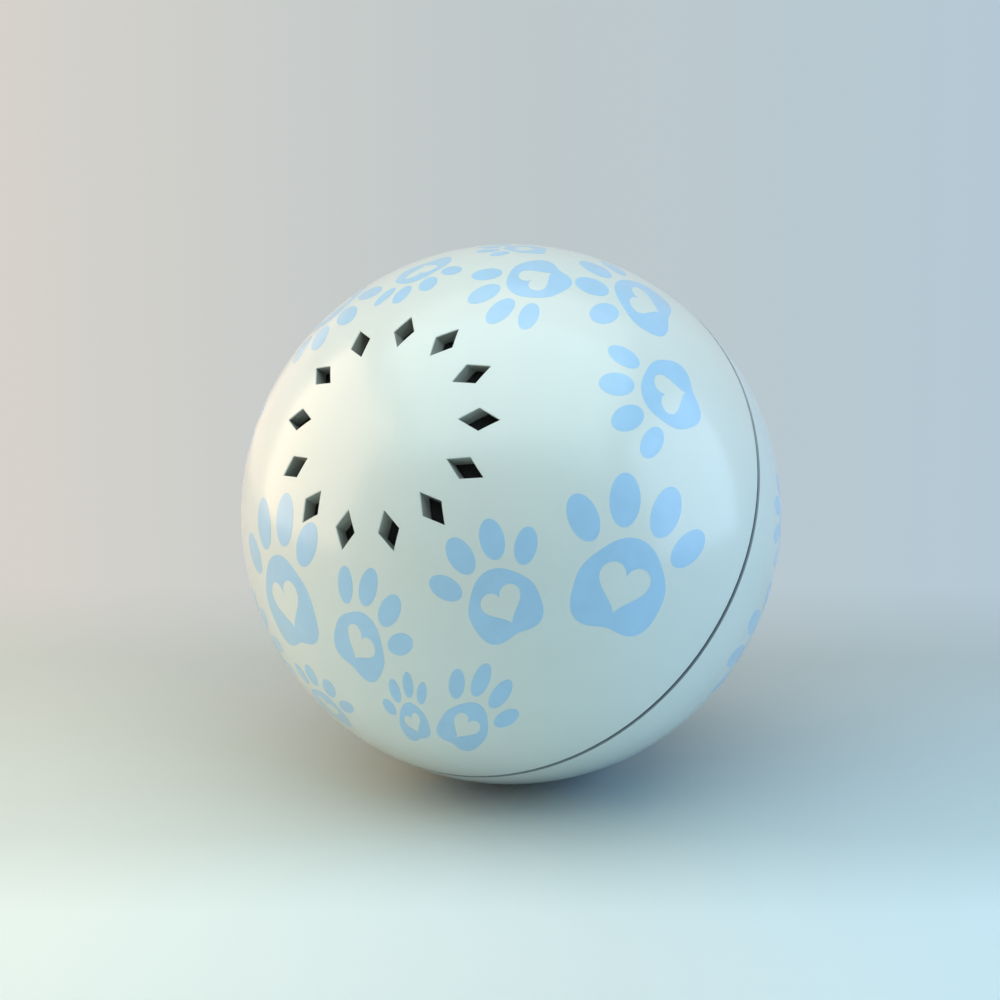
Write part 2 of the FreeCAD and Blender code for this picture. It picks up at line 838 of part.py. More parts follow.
def make_core_base():
    body = turned("core_base", base_outline)
    low, high = core_floor - s.core_wall / 2, core_floor + s.cradle_height
    side = core_radius
    cradle = cut(
        motor_box(cradle_room + s.cradle_wall, low, high),
        motor_box(cradle_room, core_floor - s.core_wall, high + through),
        box((-side, motor_y + s.motor_flat - 0.5, low - through), (side, side, high + through)),
    )
    limit = common(
        ball(core_inner_ball + s.core_wall / 2),
        cylinder(core_inner_radius + s.core_side_wall / 4, low - through, cover_low),
    )
    ribs = []
    rib_near = half_battery - s.core_wall * 3.5
    rib_far = rib_near + s.core_wall
    rib_top = battery_top - s.core_wall * 2
    rib_low = rib_top - s.core_wall * 5
    for near, far in ((-rib_far, -rib_near), (rib_near, rib_far)):
        ribs.append(box((near, rib_low, low), (far, rib_top, battery_back - s.fit_clearance)))
    bosses = []
    holes = []
    for x, y in top_places + side_places:
        bosses.append(cylinder(s.post_radius, cover_low - s.screw_bite - 4, cover_low, x, y))
        holes.append(hole(pilot, cover_low - s.screw_bite - 1, cover_low + through, x, y))
    for x, y in weight_screws:
        bosses.append(cylinder(s.post_radius, core_floor - s.core_wall / 2, weight_back - 0.1, x, y))
        holes.append(hole(pilot, core_floor, weight_back + through, x, y))
    solid = fuse(body, common(fuse(cradle, *ribs, *bosses), limit))
    return keep("core_base", cut(solid, *holes))


battery_front = cover_low - s.pad_thickness - s.fit_clearance
battery_back = battery_front - s.battery_thickness
half_battery = s.battery_width / 2
battery_top = on_ball(core_inner_radius, half_battery) - s.battery_gap
battery_side = half_battery + 2.1
weight_back = core_floor + s.weight_rise
make_core_base()

keep("core_seal", tube(
    seal_inner, seal_inner + s.seal_width, groove_floor + s.fit_clearance, cover_low - s.fit_clearance
))

post_high = cover_high + s.board_post
gear_cover_low = wheel_high + s.motor_pinion_width / 2 - s.wheel_width / 2 + s.running_gap
gear_cover_high = gear_cover_low + 1.0
gear_posts = ((-s.gear_post_side, -s.gear_post_drop), (s.gear_post_side, -s.gear_post_drop))
board_posts = (
    place_at(board_radius - s.post_radius - 2.1, -9.5),
    place_at(board_radius - s.post_radius - 2.1, 189.5),
    (0, board_radius - s.post_radius - 0.9),
)
cable_slots = ((-4.5, -4.5), (6.0, -4.5), (-battery_side, 0.7))


def make_core_cover():
    plate = cylinder(core_radius, cover_low, cover_high)
    raised = [cylinder(s.post_radius, cover_high, cover_high + s.cover_gap / 2, 0, -idler_drop)]
    holes = [
        hole(s.gear_pin_radius + s.fit_clearance, cover_low + 0.4, cover_high + through, 0, -idler_drop),
        hole(s.motor_boss_radius + 0.2, cover_low - through, cover_high + through, motor_x, motor_y),
    ]
    for x, y in top_places + side_places:
        holes.append(hole(screw_hole, cover_low - through, cover_high + through, x, y))
    for x, y in board_posts:
        raised.append(cylinder(s.post_radius, cover_high, post_high, x, y))
        holes.append(hole(pilot, cover_high - 0.6, post_high + through, x, y))
    for x, y in gear_posts:
        raised.append(cylinder(s.post_radius, cover_high, gear_cover_low, x, y))
        holes.append(hole(pilot, cover_high, gear_cover_low + through, x, y))
    for x, y in cable_slots:
        holes.append(hole(s.slot_radius, cover_low - through, cover_high + through, x, y))
    return keep("core_cover", cut(fuse(plate, *raised), *holes))


make_core_cover()

dome_low = cover_high
ear_high = dome_low + s.ear_thickness
ear_radius = s.post_radius - 0.3
speaker_front = dome_front - s.dome_wall
speaker_back = speaker_front - s.speaker_height - 0.3


def half_room(flat, radius, low, high):
    """A round room with one flat side, below the ball's axis."""
    side = dome_radius * 2
    return common(cylinder(radius, low, high), box((-side, -flat, low), (side, side, high)))


def make_core_dome():
    chamfer = s.dome_chamfer
    outer = fuse(
        cylinder(dome_radius, dome_low, dome_front - chamfer),
        cone(dome_radius, dome_radius - chamfer, dome_front - chamfer, dome_front),
    )
    side = dome_radius * 2
    outer = common(outer, box((-side, -s.dome_flat, dome_low), (side, side, dome_front)))
    inner_high = dome_front - s.dome_wall
    inner = common(
        fuse(
            cylinder(dome_inner, dome_low - through, inner_high - chamfer),
            cone(dome_inner, dome_inner - chamfer, inner_high - chamfer, inner_high),
        ),
        box((-side, -s.dome_flat + s.dome_wall, dome_low - through), (side, side, inner_high)),
    )
    ears = []
    holes = [hole(s.axle_radius + s.fit_clearance, dome_front - s.axle_seat - 0.1, dome_boss_high + through)]
    for degrees in top_angles:
        x, y = place_at(screw_circle, degrees)
        near_x, near_y = place_at(dome_radius - s.dome_wall / 2, degrees)
        ears.append(cylinder(ear_radius, dome_low, ear_high, x, y))
        ears.append(cylinder(ear_radius, dome_low, ear_high, (x + near_x) / 2, (y + near_y) / 2))
        holes.append(hole(screw_hole, dome_low - through, ear_high + through, x, y))
    boss = cylinder(dome_boss_radius, dome_front - s.axle_seat - 0.6, dome_boss_high)
    cup_inner = speaker_radius + s.fit_clearance
    cup = tube(cup_inner, cup_inner + s.speaker_wall, speaker_back, inner_high + 0.1, 0, speaker_rise)
    holes.append(hole(speaker_radius - 1.0, inner_high - 0.5, dome_front + through, 0, speaker_rise))
    shell = cut(outer, inner, cylinder(cup_inner, speaker_back, inner_high, 0, speaker_rise))
    room = common(cup, cylinder(dome_radius - s.dome_wall / 2, speaker_back, inner_high))
    ears_outside = cut(fuse(*ears), cylinder(dome_inner, dome_low - through, ear_high + through))
    return keep("core_dome", cut(fuse(shell, ears_outside, boss, room), *holes))


make_core_dome()
keep("dome_screws", group(
    screw(ear_high, ear_high - cover_low + s.screw_bite, x, y) for x, y in top_places
))
keep("core_screws", group(
    screw(cover_high, s.cover_thickness + s.screw_bite, x, y) for x, y in side_places
))
keep("front_axle", cylinder(s.axle_radius, dome_front - s.axle_seat, boss_top - 0.6))

# Motor and gear train

shaft_high = wheel_low - 0.3 + s.motor_pinion_width
shaft_low = motor_front - 6


def make_motor():
    can = common(
        cylinder(s.motor_radius, motor_back, motor_front, motor_x, motor_y),
        motor_box(0, motor_back, motor_front),
    )
    nose = cylinder(
        s.motor_boss_radius, motor_front, motor_front + s.motor_boss_length, motor_x, motor_y
    )
    bore = hole(
        s.motor_shaft_radius + s.running_clearance, shaft_low - 0.3, cover_high + through, motor_x, motor_y
    )
    keep("motor_can", cut(fuse(can, nose), bore))
    shrink = -0.25
    cap = common(
        cylinder(s.motor_radius + shrink, motor_end, motor_back, motor_x, motor_y),
        motor_box(shrink, motor_end, motor_back),
    )
    keep("motor_end_cap", cap)
    tabs = []
    for side in (-1, 1):
        x = motor_x + 3.2 * side
        tabs.append(cylinder(0.45, motor_end - 0.6, motor_end, x, motor_y))
    keep("motor_terminals", group(tabs))
    keep("motor_shaft", cylinder(s.motor_shaft_radius, shaft_low, shaft_high, motor_x, motor_y))


make_motor()

mesh_direction = math.degrees(math.atan2((motor_y + idler_drop).value, motor_x.value))


def make_gears():
    wheel_tooth = 0.8 * s.wheel_module.value
    wheel_foot = 1.15 * s.wheel_module.value
    pinion_low = ring_low - 0.2
    pinion = gear_solid(
        gear_wire(
            ring_module.value,
            int(s.pinion_teeth.value),
            ring_module.value,
            tooth_foot * ring_module.value,
            -s.backlash.value / 2,
            -90,
        ),
        pinion_low.value,
        wheel_low.value + 0.2,
        0,
        -idler_drop.value,
        (s.gear_pin_radius + s.running_clearance).value,
    )
    wheel = gear_solid(
        gear_wire(
            s.wheel_module.value,
            int(s.wheel_teeth.value),
            wheel_tooth,
            wheel_foot,
            -s.backlash.value / 2,
            mesh_direction,
        ),
        wheel_low.value,
        wheel_high.value,
        0,
        -idler_drop.value,
        (s.gear_pin_radius + s.running_clearance).value,
    )
    keep_shape("compound_gear", pinion.fuse(wheel).removeSplitter())
    space = 180 / s.motor_pinion_teeth.value
    keep_shape("motor_pinion", gear_solid(
        gear_wire(
            s.wheel_module.value,
            int(s.motor_pinion_teeth.value),
            wheel_tooth,
            wheel_foot,
            -s.backlash.value / 2,
            mesh_direction + 180 + space,
        ),
        shaft_high.value - s.motor_pinion_width.value,
        shaft_high.value,
        motor_x.value,
        motor_y.value,
        (s.motor_shaft_radius + 0.01).value,
    ))


make_gears()
keep("gear_pin", cylinder(s.gear_pin_radius, cover_low + 0.5, gear_cover_high, 0, -idler_drop))


def make_gear_cover():
    reach = s.post_radius + 0.5
    side, low_edge, high_edge = s.gear_post_side + reach, -s.gear_post_drop - reach, -s.gear_post_drop + reach
    pin_reach = s.gear_pin_radius + s.post_radius
    plate = padded("gear_cover", [
        (-side, low_edge), (-pin_reach, -idler_drop - pin_reach), (pin_reach, -idler_drop - pin_reach),
        (side, low_edge), (side, high_edge), (-side, high_edge),
    ], gear_cover_low, gear_cover_high)
    low, high = gear_cover_low - through, gear_cover_high + through
    holes = [hole(s.gear_pin_radius + s.fit_clearance, low, high, 0, -idler_drop)]
    holes += [hole(screw_hole, low, high, x, y) for x, y in gear_posts]
    return keep("gear_cover", cut(plate, *holes))


make_gear_cover()

# Counterweights and battery

front_weight_low = gear_cover_high + s.fit_clearance
front_weight_high = front_weight_low + s.front_weight_length
front_weight_seat = front_weight_low + 2.0


def make_front_weight():
    """A thick steel plate on the gear cover, below the dome's flat side, held by the cover's screws."""
    radius = core_radius - s.front_weight_inset
    side = radius * 2
    block = common(
        cylinder(radius, front_weight_low, front_weight_high),
        box((-side, -side, front_weight_low), (side, -s.weight_top, front_weight_high)),
    )
    holes = [hole(screw_hole, front_weight_low - through, front_weight_high, x, y) for x, y in gear_posts]
    for x, y in gear_posts:
        holes.append(hole(s.screw_head_radius + 0.3, front_weight_seat, front_weight_high + through, x, y))
    keep("front_counterweight", cut(block, *holes))
    keep("gear_cover_screws", group(
        screw(front_weight_seat, front_weight_seat - gear_cover_low + s.gear_screw_bite, x, y)
        for x, y in gear_posts
    ))


def make_rear_weight():
    gap = s.fitting_gap + 0.1
    room_radius = core_inner_radius - gap
    room = common(
        cylinder(room_radius, core_floor + gap, cover_low),
        ball(core_inner_ball - gap),
        box(
            (-s.weight_left, -core_radius, weight_back),
            (s.weight_right, -s.weight_top, -s.weight_front),
        ),
    )
    notch = motor_box(cradle_room + s.cradle_wall + gap, core_floor, cover_low)
    holes = [hole(screw_hole, core_floor, cover_low, x, y) for x, y in weight_screws]
    keep("rear_counterweight", cut(room, notch, *holes))
    length = -s.weight_front - weight_back + 2.0
    keep("counterweight_screws", group(screw(-s.weight_front, length, x, y) for x, y in weight_screws))


make_front_weight()
make_rear_weight()

battery_block = box((-half_battery, -s.battery_low, battery_back), (half_battery, battery_top, battery_front))


def make_battery():
    rounded = doc.addObject("Part::Fillet", "battery_rounding")
    doc.recompute()
    rounded.Base = battery_block
    radius = s.battery_rounding.value
    rounded.Edges = [(i + 1, radius, radius) for i in range(len(battery_block.Shape.Edges))]
    keep("battery", rounded)
    inset = 3.0
    keep("battery_pad", box(
        (-half_battery + inset, -s.battery_low + inset, battery_front + s.fit_clearance / 2),
        (half_battery - inset, battery_top - inset, cover_low - s.fit_clearance / 2),
    ))


make_battery()

# Electronics

board_low = post_high
board_high = board_low + s.board_thickness


def make_main_board():
    flat = s.dome_flat - s.dome_wall - 0.4
    holes = [hole(screw_hole, board_low - through, board_high + through, x, y) for x, y in board_posts]
    keep("main_board", cut(half_room(flat, board_radius, board_low, board_high), *holes))
    keep("board_screws", group(screw(board_high, s.board_thickness + 2.2, x, y) for x, y in board_posts))
    chip_x, chip_y = place_at(board_radius - s.chip_inset, 145)
    blocks = {
        "wireless_module": (0, 6.0, 5.5, 4.0, 2.0),
        "motor_driver": (6.0, -2.0, 1.5, 1.5, 1.0),
        "motion_sensor": (0, -1.0, 1.5, 1.5, 0.9),
        "charge_chip": (chip_x, chip_y, 1.5, 1.5, 1.0),
    }
    for label, (x, y, half_x, half_y, height) in blocks.items():
        keep(label, box((x - half_x, y - half_y, board_high), (x + half_x, y + half_y, board_high + height)))


make_main_board()


def make_capacitors():
    near = board_radius - s.capacitor_radius * 4.5
    far = near + s.capacitor_radius * 2 + s.board_gap
    top = board_high + s.capacitor_height
    keep("board_capacitors", group(
        cylinder(s.capacitor_radius, board_high, top, x, s.capacitor_rise) for x in (near, far)
    ))


make_capacitors()


def make_speaker():
    low = speaker_back + 0.1
    high = speaker_front - 0.35
    cup = cut(
        cylinder(speaker_radius, low, high, 0, speaker_rise),
        cylinder(speaker_radius - 0.5, low + 0.6, high + through, 0, speaker_rise),
    )
    keep("speaker_frame", cup)
    keep("speaker_magnet", cylinder(s.magnet_radius, low - s.magnet_height, low, 0, speaker_rise))
    rim = speaker_radius - 0.55
    middle = rim * 0.45
    keep("speaker_cone", put(turned("speaker_cone", [
        (0, low + 1.4), (middle, low + 0.8), (rim, low + 1.8), (rim, low + 2.0),
        (middle, low + 1.1), (0, low + 1.8),
    ]), 0, speaker_rise))
    keep("speaker_gasket", tube(
        speaker_radius - 1.0, speaker_radius, high, speaker_front - s.fit_clearance, 0, speaker_rise
    ))


make_speaker()

# Leads inside the drive unit: straight runs joined by arcs


def rounded_path(points):
    """A path along points, each corner an arc as large as its two runs allow, and its tightest radius."""
    share = 0.45
    edges = []
    tightest = math.inf
    start = points[0]
    for before, corner, after in zip(points, points[1:], points[2:]):
        into = (corner - before).normalize()
        out = (after - corner).normalize()
        turn = math.acos(max(-1.0, min(1.0, into.dot(out))))
        cutback = share * min((corner - before).Length, (after - corner).Length)
        radius = cutback / math.tan(turn / 2)
        tightest = min(tightest, radius)
        first, last = corner - into * cutback, corner + out * cutback
        bisector = (out - into).normalize()
        middle = corner + bisector * (radius / math.cos(turn / 2) - radius)
        edges.append(Part.LineSegment(start, first).toShape())
        edges.append(Part.Arc(first, middle, last).toShape())
        start = last
    edges.append(Part.LineSegment(start, points[-1]).toShape())
    return Part.Wire(edges), tightest


def lead(name, radius, corners, shift=(0, 0)):
    """A round lead along corners, and a check of its volume against its section times its length."""
    points = [Vector(size_of(x).value + shift[0], size_of(y).value + shift[1], size_of(z).value)
              for x, y, z in corners]
    path, tightest = rounded_path(points)
    ring = Part.Wire(Part.Circle(points[0], points[1] - points[0], radius.value).toShape())
    solid = path.makePipeShell([ring], True, False)
    share = solid.Volume / (math.pi * radius.value ** 2 * path.Length)
    print(f"{name}: length {path.Length:.1f}, tightest radius {tightest:.1f}, volume share {share:.4f}")
    return solid


def make_leads():
    pair = s.lead_radius + 0.15
    solder = 0.1
    motor_end_y = motor_y + s.motor_flat + s.lead_radius + 0.15
    motor_route = [
        (motor_x - 1.5, motor_end_y, motor_end + 0.7),
        (motor_x - 1.2, motor_end_y, motor_end + 8),
        (6.0, -4.5, cover_low - 2.0),
        (6.0, -4.5, board_low),
    ]
    battery_route = [
        (-half_battery - 1.5 * solder, 0.7, battery_back + 2.6),
        (-half_battery - 1.3, 0.7, battery_back + 3.0),
        (-battery_side + 0.1, 0.7, battery_back + 4.6),
        (-battery_side, 0.7, battery_back + 7.0),
        (-battery_side, 0.7, board_low),
    ]
    speaker_route = [
        (speaker_radius - 1.7, speaker_rise + 1.8, speaker_back),
        (speaker_radius - 1.5, speaker_rise + 2.2, 8.4),
        (speaker_radius - 0.7, speaker_rise + 2.3, 4.2),
        (speaker_radius - 0.5, speaker_rise + 2.0, board_high + solder),
    ]
    hub_route = [
        (-5.6, -4.9, -hub_board_depth + s.board_thickness + solder),
        (-5.3, -4.8, -17.0),
        (-4.6, -4.5, -11.5),
        (-4.5, -4.5, board_low - solder),
    ]
    for name, route, (across, up) in (
        ("motor_leads", motor_route, (pair.value, 0)),
        ("battery_leads", battery_route, (0, pair.value)),
        ("speaker_leads", speaker_route, (-pair.value, pair.value)),
    ):
        both = [lead(name, s.lead_radius, route, (across * way, up * way)) for way in (-1, 1)]
        keep_shape(name, Part.makeCompound(both))
    keep_shape("hub_cable", lead("hub_cable", s.cable_radius, hub_route))


make_leads()

# Hub in the back pole: levels are depths below the seam, so they are taken as negative heights

recess_floor = s.ball_radius - s.flap_thickness - 0.5
spigot_depth = hub_under - 2.0
hub_spigot = journal_inner - s.fit_clearance
hub_spigot_inner = hub_spigot - s.hub_spigot_wall
ledge_level = hub_inside + 0.5
ring_seat = s.button_radius + 0.2
flange_radius = s.button_radius + 0.5
flange_room = flange_radius + 0.15
button_y = -s.button_drop
half_flap = s.flap_width / 2
half_flap_tall = s.flap_height / 2
hinge_y = s.port_rise + half_flap_tall + s.flap_hinge_drop
hinge_z = -recess_floor + 0.1
hinge_reach = s.flap_hinge_width / 2
hinge_side_gap = 0.2
pin_seat = 0.7
trough_gap = 0.1
flap_room = 0.15


def oblong(width, height, low, high, y):
    """A slot-shaped bar: a box with round ends, wide along x."""
    radius = size_of(height) / 2
    reach = size_of(width) / 2 - radius
    return fuse(
        box((-reach, y - radius, low), (reach, y + radius, high)),
        cylinder(radius, low, high, -reach, y),
        cylinder(radius, low, high, reach, y),
    )


def make_hub():
    body = turned("hub_cap", [
        (0, -hub_inside),
        (hub_spigot_inner, -hub_inside),
        (hub_spigot_inner, -spigot_depth),
        (hub_spigot, -spigot_depth),
        (hub_spigot, -hub_under),
        (s.hub_radius, -hub_under),
        (s.hub_radius, -on_ball(s.ball_radius, s.hub_radius), s.ball_radius),
        (0, -s.ball_radius),
    ])
    recess = oblong(s.flap_width + 2 * flap_room, s.flap_height + 2 * flap_room,
                    -s.ball_radius - through, -recess_floor, s.port_rise)
    mouth = oblong(s.port_width + 0.3, s.port_height + 0.3, -s.ball_radius - through, -hub_inside + through,
                   s.port_rise)
    light = cylinder(
        s.light_ring_radius + s.fit_clearance, -s.ball_radius - through, -hub_inside + through, 0, button_y
    )
    trough_reach = hinge_reach + hinge_side_gap
    trough_low = hinge_z + s.flap_barrel_radius + trough_gap
    trough_high = hinge_y + s.flap_barrel_radius + trough_gap / 2
    trough = box((-trough_reach, hinge_y - 0.9, -s.ball_radius - through),
                 (trough_reach, trough_high, trough_low))
    pin_hole = crossbar(s.flap_pin_radius + s.fit_clearance, trough_reach + pin_seat, hinge_y, hinge_z)
    keep("hub_cap", cut(body, recess, mouth, light, trough, pin_hole))
    keep("flap_pin", crossbar(
        s.flap_pin_radius, trough_reach + pin_seat - s.fit_clearance, hinge_y, hinge_z
    ))

    ring = cut(
        cylinder(s.light_ring_radius, -s.ball_radius, -hub_inside + 1.2, 0, button_y),
        cylinder(ring_seat, -s.ball_radius - through, -hub_inside + through * 2, 0, button_y),
        cylinder(flange_room, -ledge_level, -hub_inside + through * 2, 0, button_y),
    )
    keep("light_ring", common(ring, ball(s.ball_radius)))

    stem_end = hub_board_depth + s.switch_height + 1.8
    button = fuse(
        cylinder(s.button_radius, -s.ball_radius, -ledge_level + 0.3, 0, button_y),
        cylinder(flange_radius, -ledge_level + 0.1, -ledge_level + 0.7, 0, button_y),
        cylinder(s.plunger_radius + 0.3, -ledge_level, -stem_end, 0, button_y),
    )
    keep("power_button", common(button, ball(s.ball_radius - 0.1)))

    plunger_low = stem_end - 0.05
    room = s.plunger_radius + s.running_clearance
    half_switch = s.switch_width / 2
    room_end = -hub_board_depth - 0.2
    keep("switch_plunger", cylinder(
        s.plunger_radius, -plunger_low, room_end - s.button_travel - 0.1, 0, button_y
    ))
    switch = cut(
        box(
            (-half_switch, button_y - half_switch, -hub_board_depth - s.switch_height),
            (half_switch, button_y + half_switch, -hub_board_depth),
        ),
        cylinder(room, -hub_board_depth - s.switch_height - through, room_end, 0, button_y),
    )
    keep("switch_body", switch)
    board_top = -hub_board_depth + s.board_thickness
    keep("hub_board", cylinder(journal_inner - 0.2, -hub_board_depth, board_top))
    lights = []
    for side in (-1, 1):
        x = side * (s.light_ring_radius - 0.5)
        lights.append(box(
            (x - 0.5, button_y - 0.4, -hub_board_depth - 0.6), (x + 0.5, button_y + 0.4, -hub_board_depth)
        ))
    keep("status_lights", group(lights))

    socket_low = -recess_floor + s.port_sink
    outside = oblong(s.port_width, s.port_height, socket_low, -hub_board_depth, s.port_rise)
    inside = oblong(s.port_width - 2 * s.port_wall, s.port_height - 2 * s.port_wall,
                    socket_low - through, -hub_board_depth - 0.6, s.port_rise)
    keep("charge_socket", cut(outside, inside))
    half_wide, half_thick = s.tongue_width / 2, s.tongue_thickness / 2
    keep("charge_tongue", box(
        (-half_wide, s.port_rise - half_thick, socket_low + s.tongue_thickness),
        (half_wide, s.port_rise + half_thick, -hub_board_depth - 0.6),
    ))


make_hub()


def make_port_flap():
    """The flap lies in its recess, follows the ball outside, has a short plug on its inner face and turns
    on a pin along its edge nearest the rim, where its corners are cut back."""
    lid_low = -recess_floor - 0.1
    corner_reach = hinge_reach + hinge_side_gap
    corner_y = hinge_y - 0.9
    corners = [
        box((near, corner_y, -s.ball_radius - through), (far, hinge_y, lid_low + through))
        for near, far in ((-half_flap, -corner_reach), (corner_reach, half_flap))
    ]
    lid = cut(common(
        oblong(s.flap_width, s.flap_height, -s.ball_radius, lid_low, s.port_rise),
        ball(s.ball_radius),
    ), *corners)
    strap = box((-hinge_reach, hinge_y - 1.0, lid_low - 0.3), (hinge_reach, hinge_y, lid_low + 0.05))
    barrel = crossbar(s.flap_barrel_radius, hinge_reach, hinge_y, hinge_z)
    pin_bore = crossbar(
        s.flap_pin_radius + s.running_clearance, hinge_reach + through, hinge_y, hinge_z
    )
    plug_room = 0.7
    plug = oblong(
        s.port_width - 2 * s.port_wall - plug_room,
        s.port_height - 2 * s.port_wall - plug_room,
        -recess_floor - 0.2,
        -recess_floor + 0.5,
        s.port_rise,
    )
    keep("port_flap", cut(fuse(lid, plug, strap, barrel), pin_bore))


make_port_flap()

# Check and write

doc.recompute()
for item in doc.Objects:
    if "Invalid" in item.State or "Error" in item.State:
        raise RuntimeError(f"{item.Label} failed: {item.State}")
for item in parts:
    if item.Shape.isNull() or not item.Shape.isValid() or not item.Shape.Solids:
        raise RuntimeError(f"{item.Label} has no good shape")

os.makedirs("parts", exist_ok=True)
for item in parts:
    item.Shape.exportStep(f"parts/{item.Label}.step")
    print(f"{item.Label}: {len(item.Shape.Solids)} solids, {item.Shape.Volume:.1f} mm3")
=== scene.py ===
import json
import math

import bpy
from mathutils import Matrix, Vector
from mathutils.geometry import delaunay_2d_cdt


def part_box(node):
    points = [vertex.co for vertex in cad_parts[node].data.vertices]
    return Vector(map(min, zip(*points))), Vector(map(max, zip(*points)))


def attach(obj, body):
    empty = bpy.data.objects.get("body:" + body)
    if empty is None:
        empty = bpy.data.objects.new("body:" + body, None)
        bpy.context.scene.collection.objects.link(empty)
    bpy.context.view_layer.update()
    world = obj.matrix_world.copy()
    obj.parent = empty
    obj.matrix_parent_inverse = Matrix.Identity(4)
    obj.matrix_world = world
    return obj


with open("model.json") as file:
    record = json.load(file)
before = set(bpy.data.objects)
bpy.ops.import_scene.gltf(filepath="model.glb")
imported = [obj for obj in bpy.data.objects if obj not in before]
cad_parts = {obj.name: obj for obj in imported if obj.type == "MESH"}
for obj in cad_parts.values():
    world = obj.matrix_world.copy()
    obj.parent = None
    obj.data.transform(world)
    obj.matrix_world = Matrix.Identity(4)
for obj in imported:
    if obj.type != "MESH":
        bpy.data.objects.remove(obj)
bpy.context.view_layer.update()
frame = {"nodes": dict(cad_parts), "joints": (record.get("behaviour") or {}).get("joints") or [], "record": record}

# The ball's radius and its own axis come from the frame. Lengths are in metres, angles in degrees

MM = 0.001
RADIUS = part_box("front_shell")[1].x
twist_joint = next(joint for joint in frame["joints"] if joint["name"] == "lock_twist")
AXIS = Vector(twist_joint["axis"]).normalized()
ACROSS = Vector((1, 0, 0))
LOCAL = Matrix((ACROSS, AXIS.cross(ACROSS), AXIS)).transposed()
FLOOR = -RADIUS


def srgb(red, green, blue):
    """A colour given as 0 to 255, as the linear values that a shader takes."""
    return tuple(
        (c / 255 / 12.92 if c / 255 <= 0.04045 else ((c / 255 + 0.055) / 1.055) ** 2.4)
        for c in (red, green, blue)
    ) + (1.0,)


# Materials


def worked(tree, operation, first, second=None):
    """One sum of one or two values, each given as a number or as a socket."""
    node = tree.nodes.new("ShaderNodeMath")
    node.operation = operation
    for value, socket in zip((first, second), node.inputs):
        if isinstance(value, (int, float)):
            socket.default_value = value
        elif value is not None:
            tree.links.new(value, socket)
    return node.outputs[0]


def seen_rays(tree):
    """1 for the camera's own rays and those that mirrors and clear things pass on, 0 for the rest."""
    path = tree.nodes.new("ShaderNodeLightPath")
    seen = path.outputs["Is Camera Ray"]
    for name in ("Is Glossy Ray", "Is Transmission Ray"):
        seen = worked(tree, "MAXIMUM", seen, path.outputs[name])
    return seen


